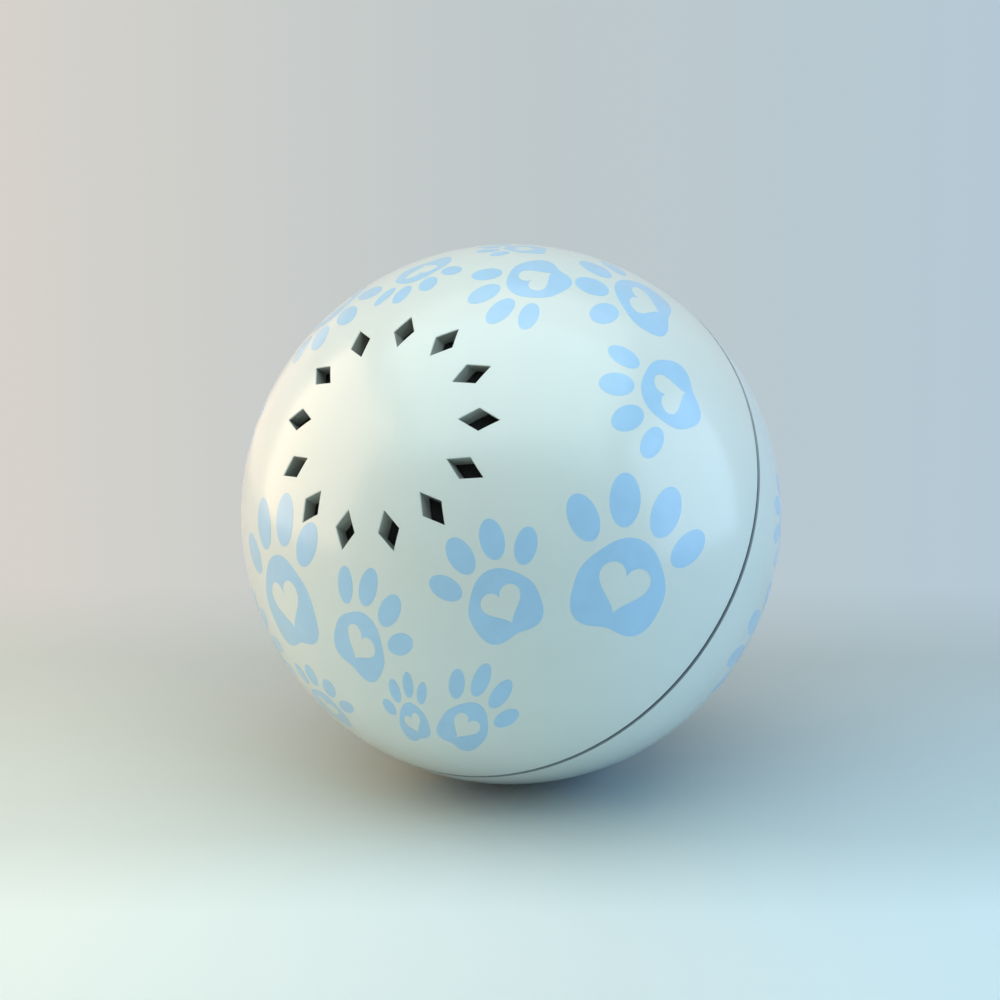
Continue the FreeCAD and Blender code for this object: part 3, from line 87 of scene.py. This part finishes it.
class Nodes:
    """A material's node tree, with short calls to add nodes and join them."""

    def __init__(self, name):
        self.material = bpy.data.materials.new(name)
        self.material.use_nodes = True
        self.tree = self.material.node_tree
        self.surface = self.tree.nodes["Principled BSDF"]
        self.output = self.tree.nodes["Material Output"]

    def add(self, kind, **values):
        node = self.tree.nodes.new("ShaderNode" + kind)
        for name, value in values.items():
            setattr(node, name, value)
        return node

    def join(self, source, target):
        self.tree.links.new(source, target)

    def set(self, **values):
        """Values for the shader's own sockets, with _ for a space in a socket's name."""
        for name, value in values.items():
            self.surface.inputs[name.replace("_", " ")].default_value = value

    def place(self, stretch=(1, 1, 1)):
        """The object's own coordinates, which move with it."""
        coordinates = self.add("TexCoord")
        mapping = self.add("Mapping")
        mapping.inputs["Scale"].default_value = stretch
        self.join(coordinates.outputs["Object"], mapping.inputs["Vector"])
        return mapping.outputs["Vector"]

    def along(self, place, direction):
        """How far a place lies along a direction."""
        node = self.add("VectorMath", operation="DOT_PRODUCT")
        node.inputs[1].default_value = direction
        self.join(place, node.inputs[0])
        return node.outputs["Value"]

    def noise(self, size, stretch=(1, 1, 1)):
        """Soft noise with blots of about that size in metres."""
        node = self.add("TexNoise")
        node.inputs["Scale"].default_value = 1 / size
        self.join(self.place(stretch), node.inputs["Vector"])
        return node.outputs["Fac"]

    def ramp(self, value, *stops):
        """Colours along a value: each stop is a place and a colour."""
        node = self.add("ValToRGB")
        elements = node.color_ramp.elements
        while len(elements) < len(stops):
            elements.new(0.5)
        for element, (position, colour) in zip(elements, stops):
            element.position = position
            element.color = colour
        self.join(value, node.inputs["Fac"])
        return node.outputs["Color"]

    def spread(self, value, low, high, source=(0.0, 1.0)):
        """A value brought from one range into another, and held at its ends."""
        node = self.add("MapRange")
        node.inputs["From Min"].default_value = source[0]
        node.inputs["From Max"].default_value = source[1]
        node.inputs["To Min"].default_value = low
        node.inputs["To Max"].default_value = high
        self.join(value, node.inputs["Value"])
        return node.outputs["Result"]

    def mixed(self, factor, first, second):
        """One colour or another by a factor, each given as a colour or as a socket."""
        node = self.add("Mix", data_type="RGBA")
        self.join(factor, node.inputs["Factor"])
        for name, colour in (("A", first), ("B", second)):
            socket = next(s for s in node.inputs if s.name == name and s.type == "RGBA")
            if isinstance(colour, tuple):
                socket.default_value = colour
            else:
                self.join(colour, socket)
        return next(s for s in node.outputs if s.type == "RGBA")

    def round_normal(self, place, depth):
        """On the ball's skin the normal points straight out from the centre. Elsewhere it is the mesh's."""
        turned = self.add("VectorTransform", vector_type="NORMAL",
                          convert_from="OBJECT", convert_to="WORLD")
        self.join(place, turned.inputs[0])
        unit = self.add("VectorMath", operation="NORMALIZE")
        self.join(turned.outputs[0], unit.inputs[0])
        node = self.add("Mix", data_type="VECTOR")
        skin = SKIN_REACH / DEPTH_RANGE
        self.join(self.spread(depth, 1, 0, (skin, skin + 0.005)), node.inputs["Factor"])
        for name, source in (("A", self.add("NewGeometry").outputs["Normal"]), ("B", unit.outputs[0])):
            self.join(source, next(s for s in node.inputs if s.name == name and s.type == "VECTOR"))
        return next(s for s in node.outputs if s.type == "VECTOR")

    def bump(self, value, depth, normal=None):
        """A fine relief of that depth, on the mesh's own normal or on the one given."""
        node = self.add("Bump")
        node.inputs["Distance"].default_value = depth
        self.join(value, node.inputs["Height"])
        if normal:
            self.join(normal, node.inputs["Normal"])
        for socket in ("Normal", "Coat Normal"):
            self.join(node.outputs["Normal"], self.surface.inputs[socket])


def tinted(colour, share):
    """A colour made darker or lighter, with white as its limit."""
    return tuple(min(1.0, c * share) for c in colour[:3]) + (1.0,)


def moulded(name, colour, roughness=0.45, grain=0.25 * MM, depth=0.004 * MM, **values):
    """Moulded plastic or rubber: faint mottling, a fine grain and uneven gloss."""
    nodes = Nodes(name)
    mottle = nodes.noise(6 * MM)
    nodes.join(nodes.ramp(mottle, (0.35, tinted(colour, 0.96)), (0.65, tinted(colour, 1.03))),
               nodes.surface.inputs["Base Color"])
    nodes.join(nodes.spread(nodes.noise(2 * MM), roughness - 0.03, roughness + 0.03),
               nodes.surface.inputs["Roughness"])
    nodes.bump(nodes.noise(grain), depth)
    nodes.set(**values)
    return nodes.material


def metal(name, colour, roughness=0.3, stretch=(1, 1, 1)):
    """Turned, drawn or stamped metal, with fine lines where it is stretched along one way."""
    nodes = Nodes(name)
    lines = nodes.noise(0.3 * MM, stretch)
    nodes.join(nodes.ramp(lines, (0.3, tinted(colour, 0.9)), (0.7, tinted(colour, 1.06))),
               nodes.surface.inputs["Base Color"])
    nodes.join(nodes.spread(lines, roughness - 0.06, roughness + 0.06), nodes.surface.inputs["Roughness"])
    nodes.bump(lines, 0.003 * MM)
    nodes.set(Metallic=1.0)
    return nodes.material


PEARL = srgb(226, 237, 234)
# Painted shade: the vents' walls are the shell's own white plastic, painted grey for the shade that falls in them
VENT_WALL_SHADE = srgb(182, 189, 184)
# Painted shade: the seam's lips, painted grey for the shade of the gap between the halves
SEAM_SHADE = srgb(120, 136, 144)
# Painted shade: the shell deeper in, painted near black
INSIDE_SHADE = srgb(14, 15, 15)
INK_BLUE = srgb(170, 216, 250)
DEPTH_RANGE = 2.4 * MM  # a little more than the wall's thickness; depths are given as shares of it
WALL_SHADE_FADE = (0.78, 0.88)  # from the grey painted shade on a vent's wall to the near-black painted shade further in
PAINT_REACH = 0.16 * MM  # how deep the paint goes into a vent or a seam
SEAM_SHADE_REACH = 0.37 * MM  # how far from the seam's plane the painted shade on its lips goes
SKIN_REACH = 0.03 * MM  # how deep a point may lie and still count as the ball's skin


def shell_paint_and_shade(name, pearl, roughness):
    """Glossy pearl paint outside. Inside the vents the wall is painted grey as shade, and further in it is painted
    near black as shade. The seam's lips are painted grey as the shade of the gap between the halves. The depth
    goes by the distance from the ball's centre, through which the seam's plane runs."""
    nodes = Nodes(name)
    place = nodes.place()
    length = nodes.add("VectorMath", operation="LENGTH")
    nodes.join(place, length.inputs[0])
    depth = nodes.spread(length.outputs["Value"], 0, 1, (RADIUS, RADIUS - DEPTH_RANGE))
    outside = nodes.ramp(nodes.noise(9 * MM), (0.3, tinted(pearl, 0.985)), (0.7, tinted(pearl, 1.01)))
    # painted shade: grey on the vents' walls, fading to near black further in
    shaded_wall = nodes.ramp(depth, (WALL_SHADE_FADE[0], VENT_WALL_SHADE), (WALL_SHADE_FADE[1], INSIDE_SHADE))
    edge = PAINT_REACH / DEPTH_RANGE
    painted = nodes.spread(depth, 1, 0, (edge - 0.01, edge + 0.01))
    wall = nodes.mixed(painted, shaded_wall, outside)
    height = worked(nodes.tree, "ABSOLUTE", nodes.along(place, AXIS))
    # painted shade: a grey band on the lips on both sides of the seam
    seam = nodes.spread(height, 1, 0, (SEAM_SHADE_REACH - 0.02 * MM, SEAM_SHADE_REACH + 0.02 * MM))
    nodes.join(nodes.mixed(seam, wall, SEAM_SHADE), nodes.surface.inputs["Base Color"])
    nodes.join(nodes.spread(nodes.noise(3 * MM), roughness - 0.02, roughness + 0.02),
               nodes.surface.inputs["Roughness"])
    nodes.bump(nodes.noise(0.35 * MM), 0.0012 * MM, normal=nodes.round_normal(place, depth))
    nodes.set(Coat_Weight=1.0, Coat_Roughness=0.18)
    return nodes.material


def woven_mesh(name):
    """Black cloth mesh: crossed threads with small holes."""
    nodes = Nodes(name)
    waves = []
    for direction in ("X", "Y"):
        wave = nodes.add("TexWave", bands_direction=direction)
        wave.inputs["Scale"].default_value = 1 / (1.6 * MM)
        nodes.join(nodes.place(), wave.inputs["Vector"])
        waves.append(wave.outputs["Fac"])
    crossed = worked(nodes.tree, "MULTIPLY", *waves)
    nodes.join(nodes.ramp(crossed, (0.1, srgb(14, 17, 17)), (0.6, srgb(2, 2, 2))),
               nodes.surface.inputs["Base Color"])
    nodes.bump(crossed, 0.08 * MM)
    nodes.set(Roughness=0.9)
    return nodes.material


def ink(name, colour):
    """Pad-printed ink: one colour with slight unevenness, about as glossy as the paint under it."""
    nodes = Nodes(name)
    nodes.join(nodes.ramp(nodes.noise(3 * MM), (0.3, tinted(colour, 0.97)), (0.7, tinted(colour, 1.03))),
               nodes.surface.inputs["Base Color"])
    nodes.join(nodes.spread(nodes.noise(1.2 * MM), 0.32, 0.38), nodes.surface.inputs["Roughness"])
    nodes.bump(nodes.noise(0.3 * MM), 0.001 * MM)
    nodes.set(Coat_Weight=1.0, Coat_Roughness=0.2)
    return nodes.material


def circuit_board(name):
    """Green solder mask over faint tracks."""
    nodes = Nodes(name)
    tracks = nodes.add("TexVoronoi", feature="DISTANCE_TO_EDGE")
    tracks.inputs["Scale"].default_value = 1 / (2.2 * MM)
    nodes.join(nodes.place(), tracks.inputs["Vector"])
    nodes.join(nodes.ramp(tracks.outputs["Distance"], (0.02, srgb(40, 120, 74)), (0.06, srgb(16, 84, 48))),
               nodes.surface.inputs["Base Color"])
    nodes.bump(tracks.outputs["Distance"], 0.01 * MM)
    nodes.set(Roughness=0.35, Coat_Weight=0.3)
    return nodes.material


FINISHES = {
    "shell_plastic": shell_paint_and_shade("pearl_paint_and_shade", PEARL, 0.35),
    "hub_plastic": shell_paint_and_shade("hub_paint_and_shade", srgb(218, 229, 227), 0.4),
    "mesh_cloth": woven_mesh("vent_cloth"),
    "seal_rubber": moulded("seal_rubber", srgb(46, 50, 50), 0.7, grain=0.15 * MM),
    "gear_plastic": moulded("acetal", srgb(232, 230, 222), 0.38),
    "screw_steel": metal("zinc_screw", srgb(178, 180, 182), 0.35),
    "axle_steel": metal("ground_steel", srgb(205, 206, 208), 0.2, (1, 1, 8)),
    "motor_steel": metal("plated_can", srgb(196, 196, 198), 0.28, (1, 1, 6)),
    "weight_steel": metal("blackened_steel", srgb(92, 94, 97), 0.5),
    "core_plastic": moulded("core_grey", srgb(112, 116, 118), 0.55),
    "dome_plastic": moulded("dome_grey", srgb(70, 74, 76), 0.5),
    "black_plastic": moulded("black_plastic", srgb(30, 30, 31), 0.5),
    "brass": metal("brass", srgb(214, 184, 112), 0.25),
    "battery_foil": metal("battery_foil", srgb(206, 208, 212), 0.45, (1, 4, 1)),
    "foam": moulded("foam", srgb(44, 44, 46), 0.95, grain=0.5 * MM, depth=0.1 * MM),
    "board": circuit_board("green_board"),
    "shield_metal": metal("tinned_shield", srgb(210, 211, 212), 0.3),
    "magnet_steel": metal("magnet_plating", srgb(200, 201, 204), 0.15),
    "cone_film": moulded("cone_film", srgb(40, 40, 44), 0.4),
    "lead_sleeve": moulded("red_sleeve", srgb(176, 34, 30), 0.45),
    "cable_sleeve": moulded("black_sleeve", srgb(26, 26, 27), 0.5),
    "light_plastic": moulded("milky_light", srgb(222, 234, 244), 0.4, Subsurface_Weight=0.1),
    "button_plastic": moulded("button_blue", srgb(120, 172, 222), 0.35, Coat_Weight=0.2),
    "socket_steel": metal("socket_shell", srgb(206, 207, 209), 0.3),
    "flap_rubber": moulded("flap_rubber", srgb(208, 214, 213), 0.6, grain=0.2 * MM),
}


def dress_nodes():
    """Gives each CAD node its slot's finish."""
    slot_of = {part["node"]: part["material_slot"] for part in frame["record"]["subparts"]}
    for name, thing in frame["nodes"].items():
        thing.data.materials.clear()
        thing.data.materials.append(FINISHES[slot_of[name]])


dress_nodes()

# Paw prints: a pad with a heart left out of it, and four toes. The unit is half the pad's width

# the pad's reach from its middle, as a constant and cosines of one to six times the angle from its top
PAD_HARMONICS = (1.005, -0.007, 0.012, 0.074, -0.029, 0.038, -0.012)
HEART_HALF_WIDTH = 0.565
HEART_SCALE = 0.0372
HEART_RISE = 0.07
TOES = (
    # place across and up, half width, half length, lean
    (-0.47, 1.77, 0.33, 0.56, -9),
    (0.47, 1.77, 0.33, 0.56, 9),
    (-1.2, 1.17, 0.31, 0.5, -35),
    (1.2, 1.17, 0.31, 0.5, 35),
)
INK_LIFT = 0.015 * MM  # how far the ink stands off the shell
INK_ROOT = 0.05 * MM  # how far its film goes into the shell, so that no gap shows
FILL_PITCH = 0.16  # between a print's inner points
EDGE_SHARE = 0.45  # of the pitch, by which the inner points keep off the outline
SHARP_ANGLE = 40


def pad_outline(count=72):
    """The pad, with its top towards the toes."""
    points = []
    for step in range(count):
        turn = 2 * math.pi * step / count
        reach = sum(share * math.cos(order * turn) for order, share in enumerate(PAD_HARMONICS))
        points.append((reach * math.sin(turn), reach * math.cos(turn)))
    return points


def heart_outline(count=48):
    """The heart in the pad, with its lobes towards the toes."""
    points = []
    for step in range(count):
        turn = 2 * math.pi * step / count
        across = HEART_HALF_WIDTH * math.sin(turn) ** 3
        up = 13 * math.cos(turn) - 5 * math.cos(2 * turn) - 2 * math.cos(3 * turn) - math.cos(4 * turn)
        points.append((across, HEART_RISE + HEART_SCALE * up))
    return points


def toe_outline(across, up, half_width, half_length, lean, count=32):
    """An ellipse that leans to the right by an angle."""
    points = []
    tilt = math.radians(lean)
    for step in range(count):
        turn = 2 * math.pi * step / count
        x = half_width * math.cos(turn)
        y = half_length * math.sin(turn)
        points.append((across + x * math.cos(tilt) + y * math.sin(tilt),
                       up - x * math.sin(tilt) + y * math.cos(tilt)))
    return points


def inside(point, outline):
    """Whether a point lies in an outline: a line from it then crosses the outline an odd number of times."""
    x, y = point
    found = False
    for (x1, y1), (x2, y2) in zip(outline, outline[1:] + outline[:1]):
        if (y1 > y) != (y2 > y) and x < (x2 - x1) * (y - y1) / (y2 - y1) + x1:
            found = not found
    return found


def near(point, outline, distance):
    return any(math.dist(point, other) < distance for other in outline)


def filled(outline, hole=None):
    """Triangles that fill an outline, with inner points on a grid so that they can follow the ball."""
    loops = [outline] + ([hole] if hole else [])
    points = [p for loop in loops for p in loop]
    edges = []
    start = 0
    for loop in loops:
        edges += [(start + i, start + (i + 1) % len(loop)) for i in range(len(loop))]
        start += len(loop)
    xs, ys = zip(*outline)
    row = min(ys) + FILL_PITCH / 2
    while row < max(ys):
        column = min(xs) + FILL_PITCH / 2
        while column < max(xs):
            point = (column, row)
            clear = not near(point, points[:start], FILL_PITCH * EDGE_SHARE)
            if clear and inside(point, outline) and not (hole and inside(point, hole)):
                points.append(point)
            column += FILL_PITCH
        row += FILL_PITCH
    verts, _, faces, *_ = delaunay_2d_cdt([Vector(p) for p in points], edges, [], 0, 1e-6)
    kept = []
    for face in faces:
        middle = sum((verts[i] for i in face), Vector((0, 0))) / len(face)
        if inside(middle, outline) and not (hole and inside(middle, hole)):
            kept.append(tuple(face))
    return [tuple(v) for v in verts], kept


def on_sphere(point, polar, azimuth, turn, size, stretch, stretch_turn):
    """Where a point of the flat print lies on the ball, as a direction from its centre: the print's middle
    is at that polar angle from the vents' pole and that azimuth, and its toes point towards the pole and
    then turned to the side."""
    x, y = point
    along = Vector((math.cos(math.radians(stretch_turn)), math.sin(math.radians(stretch_turn))))
    reach = (x * along.x + y * along.y) * (stretch - 1)
    x, y = x + reach * along.x, y + reach * along.y
    t, p, w = (math.radians(a) for a in (polar, azimuth, turn))
    middle = Vector((math.sin(t) * math.cos(p), math.sin(t) * math.sin(p), math.cos(t)))
    outward = Vector((math.cos(t) * math.cos(p), math.cos(t) * math.sin(p), -math.sin(t)))
    sideways = Vector((-math.sin(p), math.cos(p), 0))
    up = -math.cos(w) * outward + math.sin(w) * sideways
    right = up.cross(middle)
    angle = size * math.hypot(x, y)
    if angle < 1e-9:
        return LOCAL @ middle
    direction = (right * x + up * y).normalized()
    return LOCAL @ (math.cos(angle) * middle + math.sin(angle) * direction)


def film(outline, hole, spot):
    """A closed film on the ball's surface in the shape of an outline: vertices and faces."""
    flat, faces = filled(outline, hole)
    directions = [on_sphere(point, *spot) for point in flat]
    top = [d * (RADIUS + INK_LIFT) for d in directions]
    under = [d * (RADIUS - INK_ROOT) for d in directions]
    count = len(flat)
    rim = {}  # the edges that only one face has, in the order of the faces
    for face in faces:
        for a, b in zip(face, face[1:] + face[:1]):
            if (b, a) in rim:
                del rim[(b, a)]
            else:
                rim[(a, b)] = True
    walls = [(b, a, a + count, b + count) for a, b in rim]
    lower = [tuple(i + count for i in reversed(face)) for face in faces]
    return top + under, [tuple(face) for face in faces] + lower + walls


def make_print(name, spot):
    """One print as one piece: its pad and its four toes are films apart from each other."""
    parts = [(pad_outline(), heart_outline())] + [(toe_outline(*toe), None) for toe in TOES]
    verts, faces = [], []
    for outline, hole in parts:
        new_verts, new_faces = film(outline, hole, spot)
        faces += [tuple(i + len(verts) for i in face) for face in new_faces]
        verts += new_verts
    mesh = bpy.data.meshes.new(name)
    mesh.from_pydata(verts, [], faces)
    mesh.validate()
    thing = bpy.data.objects.new(name, mesh)
    bpy.context.scene.collection.objects.link(thing)
    for polygon in mesh.polygons:
        polygon.use_smooth = True
    mesh.set_sharp_from_angle(angle=math.radians(SHARP_ANGLE))
    mesh.materials.append(ink_paint)
    return thing


FRONT_PRINTS = (
    # polar angle from the vents' pole, azimuth, turn, size in radians, stretch, way of the stretch
    (61.4, -20.1, 74.8, 0.167, 1.08, 1),
    (45.5, -42.4, 12.0, 0.123, 1.09, 30),
    (45.7, -89.7, 35.9, 0.103, 1.33, -51),
    (45.5, -118.9, -40.7, 0.161, 1.08, 51),
    (65.5, -81.9, -6.1, 0.057, 1.96, 61),
    (67.8, -70.4, 56.3, 0.088, 1.58, -70),
    (62.7, 28.0, -12.2, 0.121, 1.15, -14),
    (67.7, 55.2, 47.7, 0.113, 1.66, 9),
    (48.7, 71.1, 7.3, 0.109, 1.30, -47),
    (44.6, 107.2, -20.0, 0.082, 1.40, 31),
    (49.9, 138.6, 0.6, 0.138, 1, 0),
    (61, 87.2, 58.7, 0.078, 1, 0),
    (71.3, -108.6, 5, 0.097, 1, 0),
    (73.2, -134.2, 24, 0.115, 1, 0),
    (72, 112, 120, 0.08, 1, 0),
    (74, 142, -30, 0.09, 1, 0),
    (60, 170, 60, 0.12, 1, 0),
    (73, 200, -70, 0.12, 1, 0),
)
REAR_PRINTS = (
    (124.5, -13.6, -3, 0.15, 1, 0),
    (116, 16.4, -19, 0.11, 1, 0),
    (113, 50, 150, 0.11, 1, 0),
    (119, 86, 20, 0.13, 1, 0),
    (110, 121, -150, 0.1, 1, 0),
    (120, 156, 70, 0.13, 1, 0),
    (111, 194, -40, 0.11, 1, 0),
    (121, 231, 100, 0.14, 1, 0),
    (109, 267, 10, 0.1, 1, 0),
    (119, 303, -120, 0.12, 1, 0),
    (143, 5, 40, 0.075, 1, 0),
    (141, 60, -60, 0.08, 1, 0),
    (144, 112, 170, 0.075, 1, 0),
    (143, 170, 20, 0.08, 1, 0),
    (144, 222, -90, 0.07, 1, 0),
    (142, 275, 130, 0.08, 1, 0),
    (143, 322, -20, 0.07, 1, 0),
)

ink_paint = ink("print_ink", INK_BLUE)


def make_prints(side, spots):
    for number, spot in enumerate(spots, start=1):
        thing = make_print(f"{side}_paw_print_{number}", spot)
        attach(thing, f"{side}_half")


make_prints("front", FRONT_PRINTS)
make_prints("rear", REAR_PRINTS)

# Camera, at the photograph's angle. Its place is in ball radii from the ball's centre

CAMERA_AT = Vector((5.7664, -8.8050, 2.8771)) * RADIUS
CAMERA_AIM = Vector((-0.53231, 0.80594, -0.25904)).normalized()
CAMERA_UP = Vector((-0.14276, 0.21615, 0.96587))
CAMERA_RIGHT = CAMERA_AIM.cross(CAMERA_UP).normalized()
FOCAL_MM = 105.66
SENSOR_MM = 36


def make_camera():
    data = bpy.data.cameras.new("camera")
    data.sensor_width = SENSOR_MM
    data.lens = FOCAL_MM
    data.clip_start = 0.01
    data.clip_end = 20
    camera = bpy.data.objects.new("camera", data)
    bpy.context.scene.collection.objects.link(camera)
    up = CAMERA_RIGHT.cross(CAMERA_AIM)
    turn = Matrix((CAMERA_RIGHT, up, -CAMERA_AIM)).transposed()
    camera.matrix_world = Matrix.Translation(CAMERA_AT) @ turn.to_4x4()
    bpy.context.scene.camera = camera


make_camera()

# Stage: a pale floor that turns into the backdrop a little behind the ball. Its material goes by the floor's own
# places: how far away from the camera a point lies, and how far to the side for that distance. The floor's colour
# is painted light and shadow: lighter towards the camera, darker around and behind the ball where its shadow
# falls, and darker and bluer to the right. The backdrop glows with painted light, warmer on the left and cooler on
# the right.

FLOOR_AWAY = Vector((CAMERA_AIM.x, CAMERA_AIM.y, 0)).normalized()
FLOOR_START = -CAMERA_AT.xy.length
FLOOR_LIGHT_AND_SHADOW = (
    # how far behind the ball in radii, and the floor's colour there: painted light and shadow, lighter towards the
    # camera and darker where the ball's shadow falls
    (-1.4, srgb(242, 252, 250)),
    (-0.7, srgb(223, 232, 229)),
    (1.3, srgb(210, 215, 212)),
)
FLOOR_SIDE_SHADE = (
    # place across the picture's width, and by what the floor's colour is multiplied there: painted shade, darker
    # from the middle, where the ball's shadow lies, to the right, and bluer on the right
    (0.0, (1.0, 0.99, 0.97, 1.0)),
    (0.6, (0.85, 0.87, 0.9, 1.0)),
    (1.0, (0.81, 0.91, 1.0, 1.0)),
)
BACKDROP_GLOW_LIGHT = (
    # place across the picture's width, and the colour that the backdrop glows with there: painted light, warmer
    # and lighter on the left, cooler and bluer on the right
    (0.0, srgb(214, 210, 203)),
    (0.5, srgb(191, 200, 202)),
    (1.0, srgb(181, 201, 213)),
)
# In ball radii: where the floor starts to turn into the backdrop and where it has, and the floor's edge
BACKDROP_START = 1.3
BACKDROP_FULL = 2.4
FLOOR_REACH = 120
# Half the picture's width for each radius of distance, and the least distance that the tints reckon with
HALF_PICTURE = 0.17
NEAREST_REACH = 7.5
# Behind the camera, to the side and in front, a distance counts for the tints by these shares
REACH_BEHIND = -1.5
FAR_BESIDE = 0.6
FAR_BEFORE = -0.5


def make_stage():
    bpy.ops.mesh.primitive_circle_add(vertices=96, radius=FLOOR_REACH * RADIUS, fill_type="NGON",
                                      location=(0, 0, FLOOR))
    floor = bpy.context.object
    floor.name = "floor"
    nodes = Nodes("floor_finish")
    tree = nodes.tree
    place = nodes.place((1 / RADIUS,) * 3)
    away = nodes.along(place, FLOOR_AWAY)
    low, high = FLOOR_LIGHT_AND_SHADOW[0][0], FLOOR_LIGHT_AND_SHADOW[-1][0]
    stops = [((distance - low) / (high - low), colour) for distance, colour in FLOOR_LIGHT_AND_SHADOW]
    # painted light and shadow along the distance from the camera
    distance_shade = nodes.ramp(nodes.spread(away, 0, 1, (low, high)), *stops)
    nodes.set(Roughness=0.6)
    nodes.surface.inputs["Specular IOR Level"].default_value = 0.3
    side = nodes.along(place, CAMERA_RIGHT)
    reach = worked(tree, "MAXIMUM", worked(tree, "SUBTRACT", away, FLOOR_START / RADIUS), NEAREST_REACH)
    reach = worked(tree, "MAXIMUM", reach, worked(tree, "MULTIPLY", away, REACH_BEHIND))
    width = nodes.spread(worked(tree, "DIVIDE", side, reach), 0, 1, (-HALF_PICTURE, HALF_PICTURE))
    # painted shade across the width, multiplied into the floor's colour
    floor_shade = nodes.add("MixRGB", blend_type="MULTIPLY")
    floor_shade.inputs["Fac"].default_value = 1
    nodes.join(distance_shade, floor_shade.inputs["Color1"])
    nodes.join(nodes.ramp(width, *FLOOR_SIDE_SHADE), floor_shade.inputs["Color2"])
    nodes.join(floor_shade.outputs["Color"], nodes.surface.inputs["Base Color"])
    # painted light: the backdrop glows with a gradient across the width
    backdrop = nodes.add("Emission")
    nodes.join(nodes.ramp(width, *BACKDROP_GLOW_LIGHT), backdrop.inputs["Color"])
    beside = worked(tree, "MULTIPLY", worked(tree, "ABSOLUTE", side), FAR_BESIDE)
    before = worked(tree, "MULTIPLY", away, FAR_BEFORE)
    far = worked(tree, "MAXIMUM", away, worked(tree, "MAXIMUM", beside, before))
    turned = nodes.spread(far, 0, 1, (BACKDROP_START, BACKDROP_FULL))
    share = worked(tree, "MULTIPLY", turned, seen_rays(tree))
    shader = nodes.add("MixShader")
    nodes.join(share, shader.inputs["Fac"])
    nodes.join(nodes.surface.outputs["BSDF"], shader.inputs[1])
    nodes.join(backdrop.outputs["Emission"], shader.inputs[2])
    nodes.join(shader.outputs["Shader"], nodes.output.inputs["Surface"])
    floor.data.materials.append(nodes.material)


make_stage()

# Lamps: soft boxes that face the ball. Each one's direction is from the ball, to the camera's right, up and
# towards the camera; distance and size are in ball radii

LAMPS = (
    # name, direction, distance, width and height, power in watts, colour
    ("left_box", (-0.95, 0.30, 0.0), 7, (7.5, 7), 0.33, (1.0, 0.71, 0.5)),
    ("left_rim_box", (-0.70, 0.15, -0.70), 8, (6, 6), 0.05, (1.0, 0.72, 0.55)),
    ("right_box", (0.95, 0.18, 0.22), 7, (6, 6), 0.2, (0.55, 0.74, 1.0)),
    ("high_box", (0.0, 0.93, 0.37), 9, (14, 14), 0.55, (1.0, 0.88, 0.86)),
    ("front_box", (-0.05, 0.82, 0.57), 10, (20, 13), 0.78, (0.6, 0.97, 1.0)),
)
AMBIENT = (0.04, 0.043, 0.046)
SURROUNDINGS = srgb(199, 203, 202)


def make_lamp(name, direction, distance, size, power, colour):
    data = bpy.data.lights.new(name, "AREA")
    data.shape = "RECTANGLE"
    data.size, data.size_y = (length * RADIUS for length in size)
    data.energy = power
    data.color = colour
    lamp = bpy.data.objects.new(name, data)
    bpy.context.scene.collection.objects.link(lamp)
    right, up, towards = direction
    way = (CAMERA_RIGHT * right + CAMERA_UP * up - CAMERA_AIM * towards).normalized()
    lamp.location = way * distance * RADIUS
    lamp.rotation_mode = "QUATERNION"
    lamp.rotation_quaternion = (-way).to_track_quat("-Z", "Y")
    lamp.visible_camera = False


def make_world():
    """A faint even light. What reflects in the ball and stands behind the floor is the backdrop's grey."""
    world = bpy.data.worlds.new("studio")
    bpy.context.scene.world = world
    world.use_nodes = True
    tree = world.node_tree
    mix = tree.nodes.new("ShaderNodeMixRGB")
    tree.links.new(seen_rays(tree), mix.inputs["Fac"])
    mix.inputs["Color1"].default_value = AMBIENT + (1.0,)
    mix.inputs["Color2"].default_value = SURROUNDINGS
    tree.links.new(mix.outputs["Color"], tree.nodes["Background"].inputs["Color"])


for lamp in LAMPS:
    make_lamp(*lamp)
make_world()
bpy.context.scene.view_settings.view_transform = "Standard"
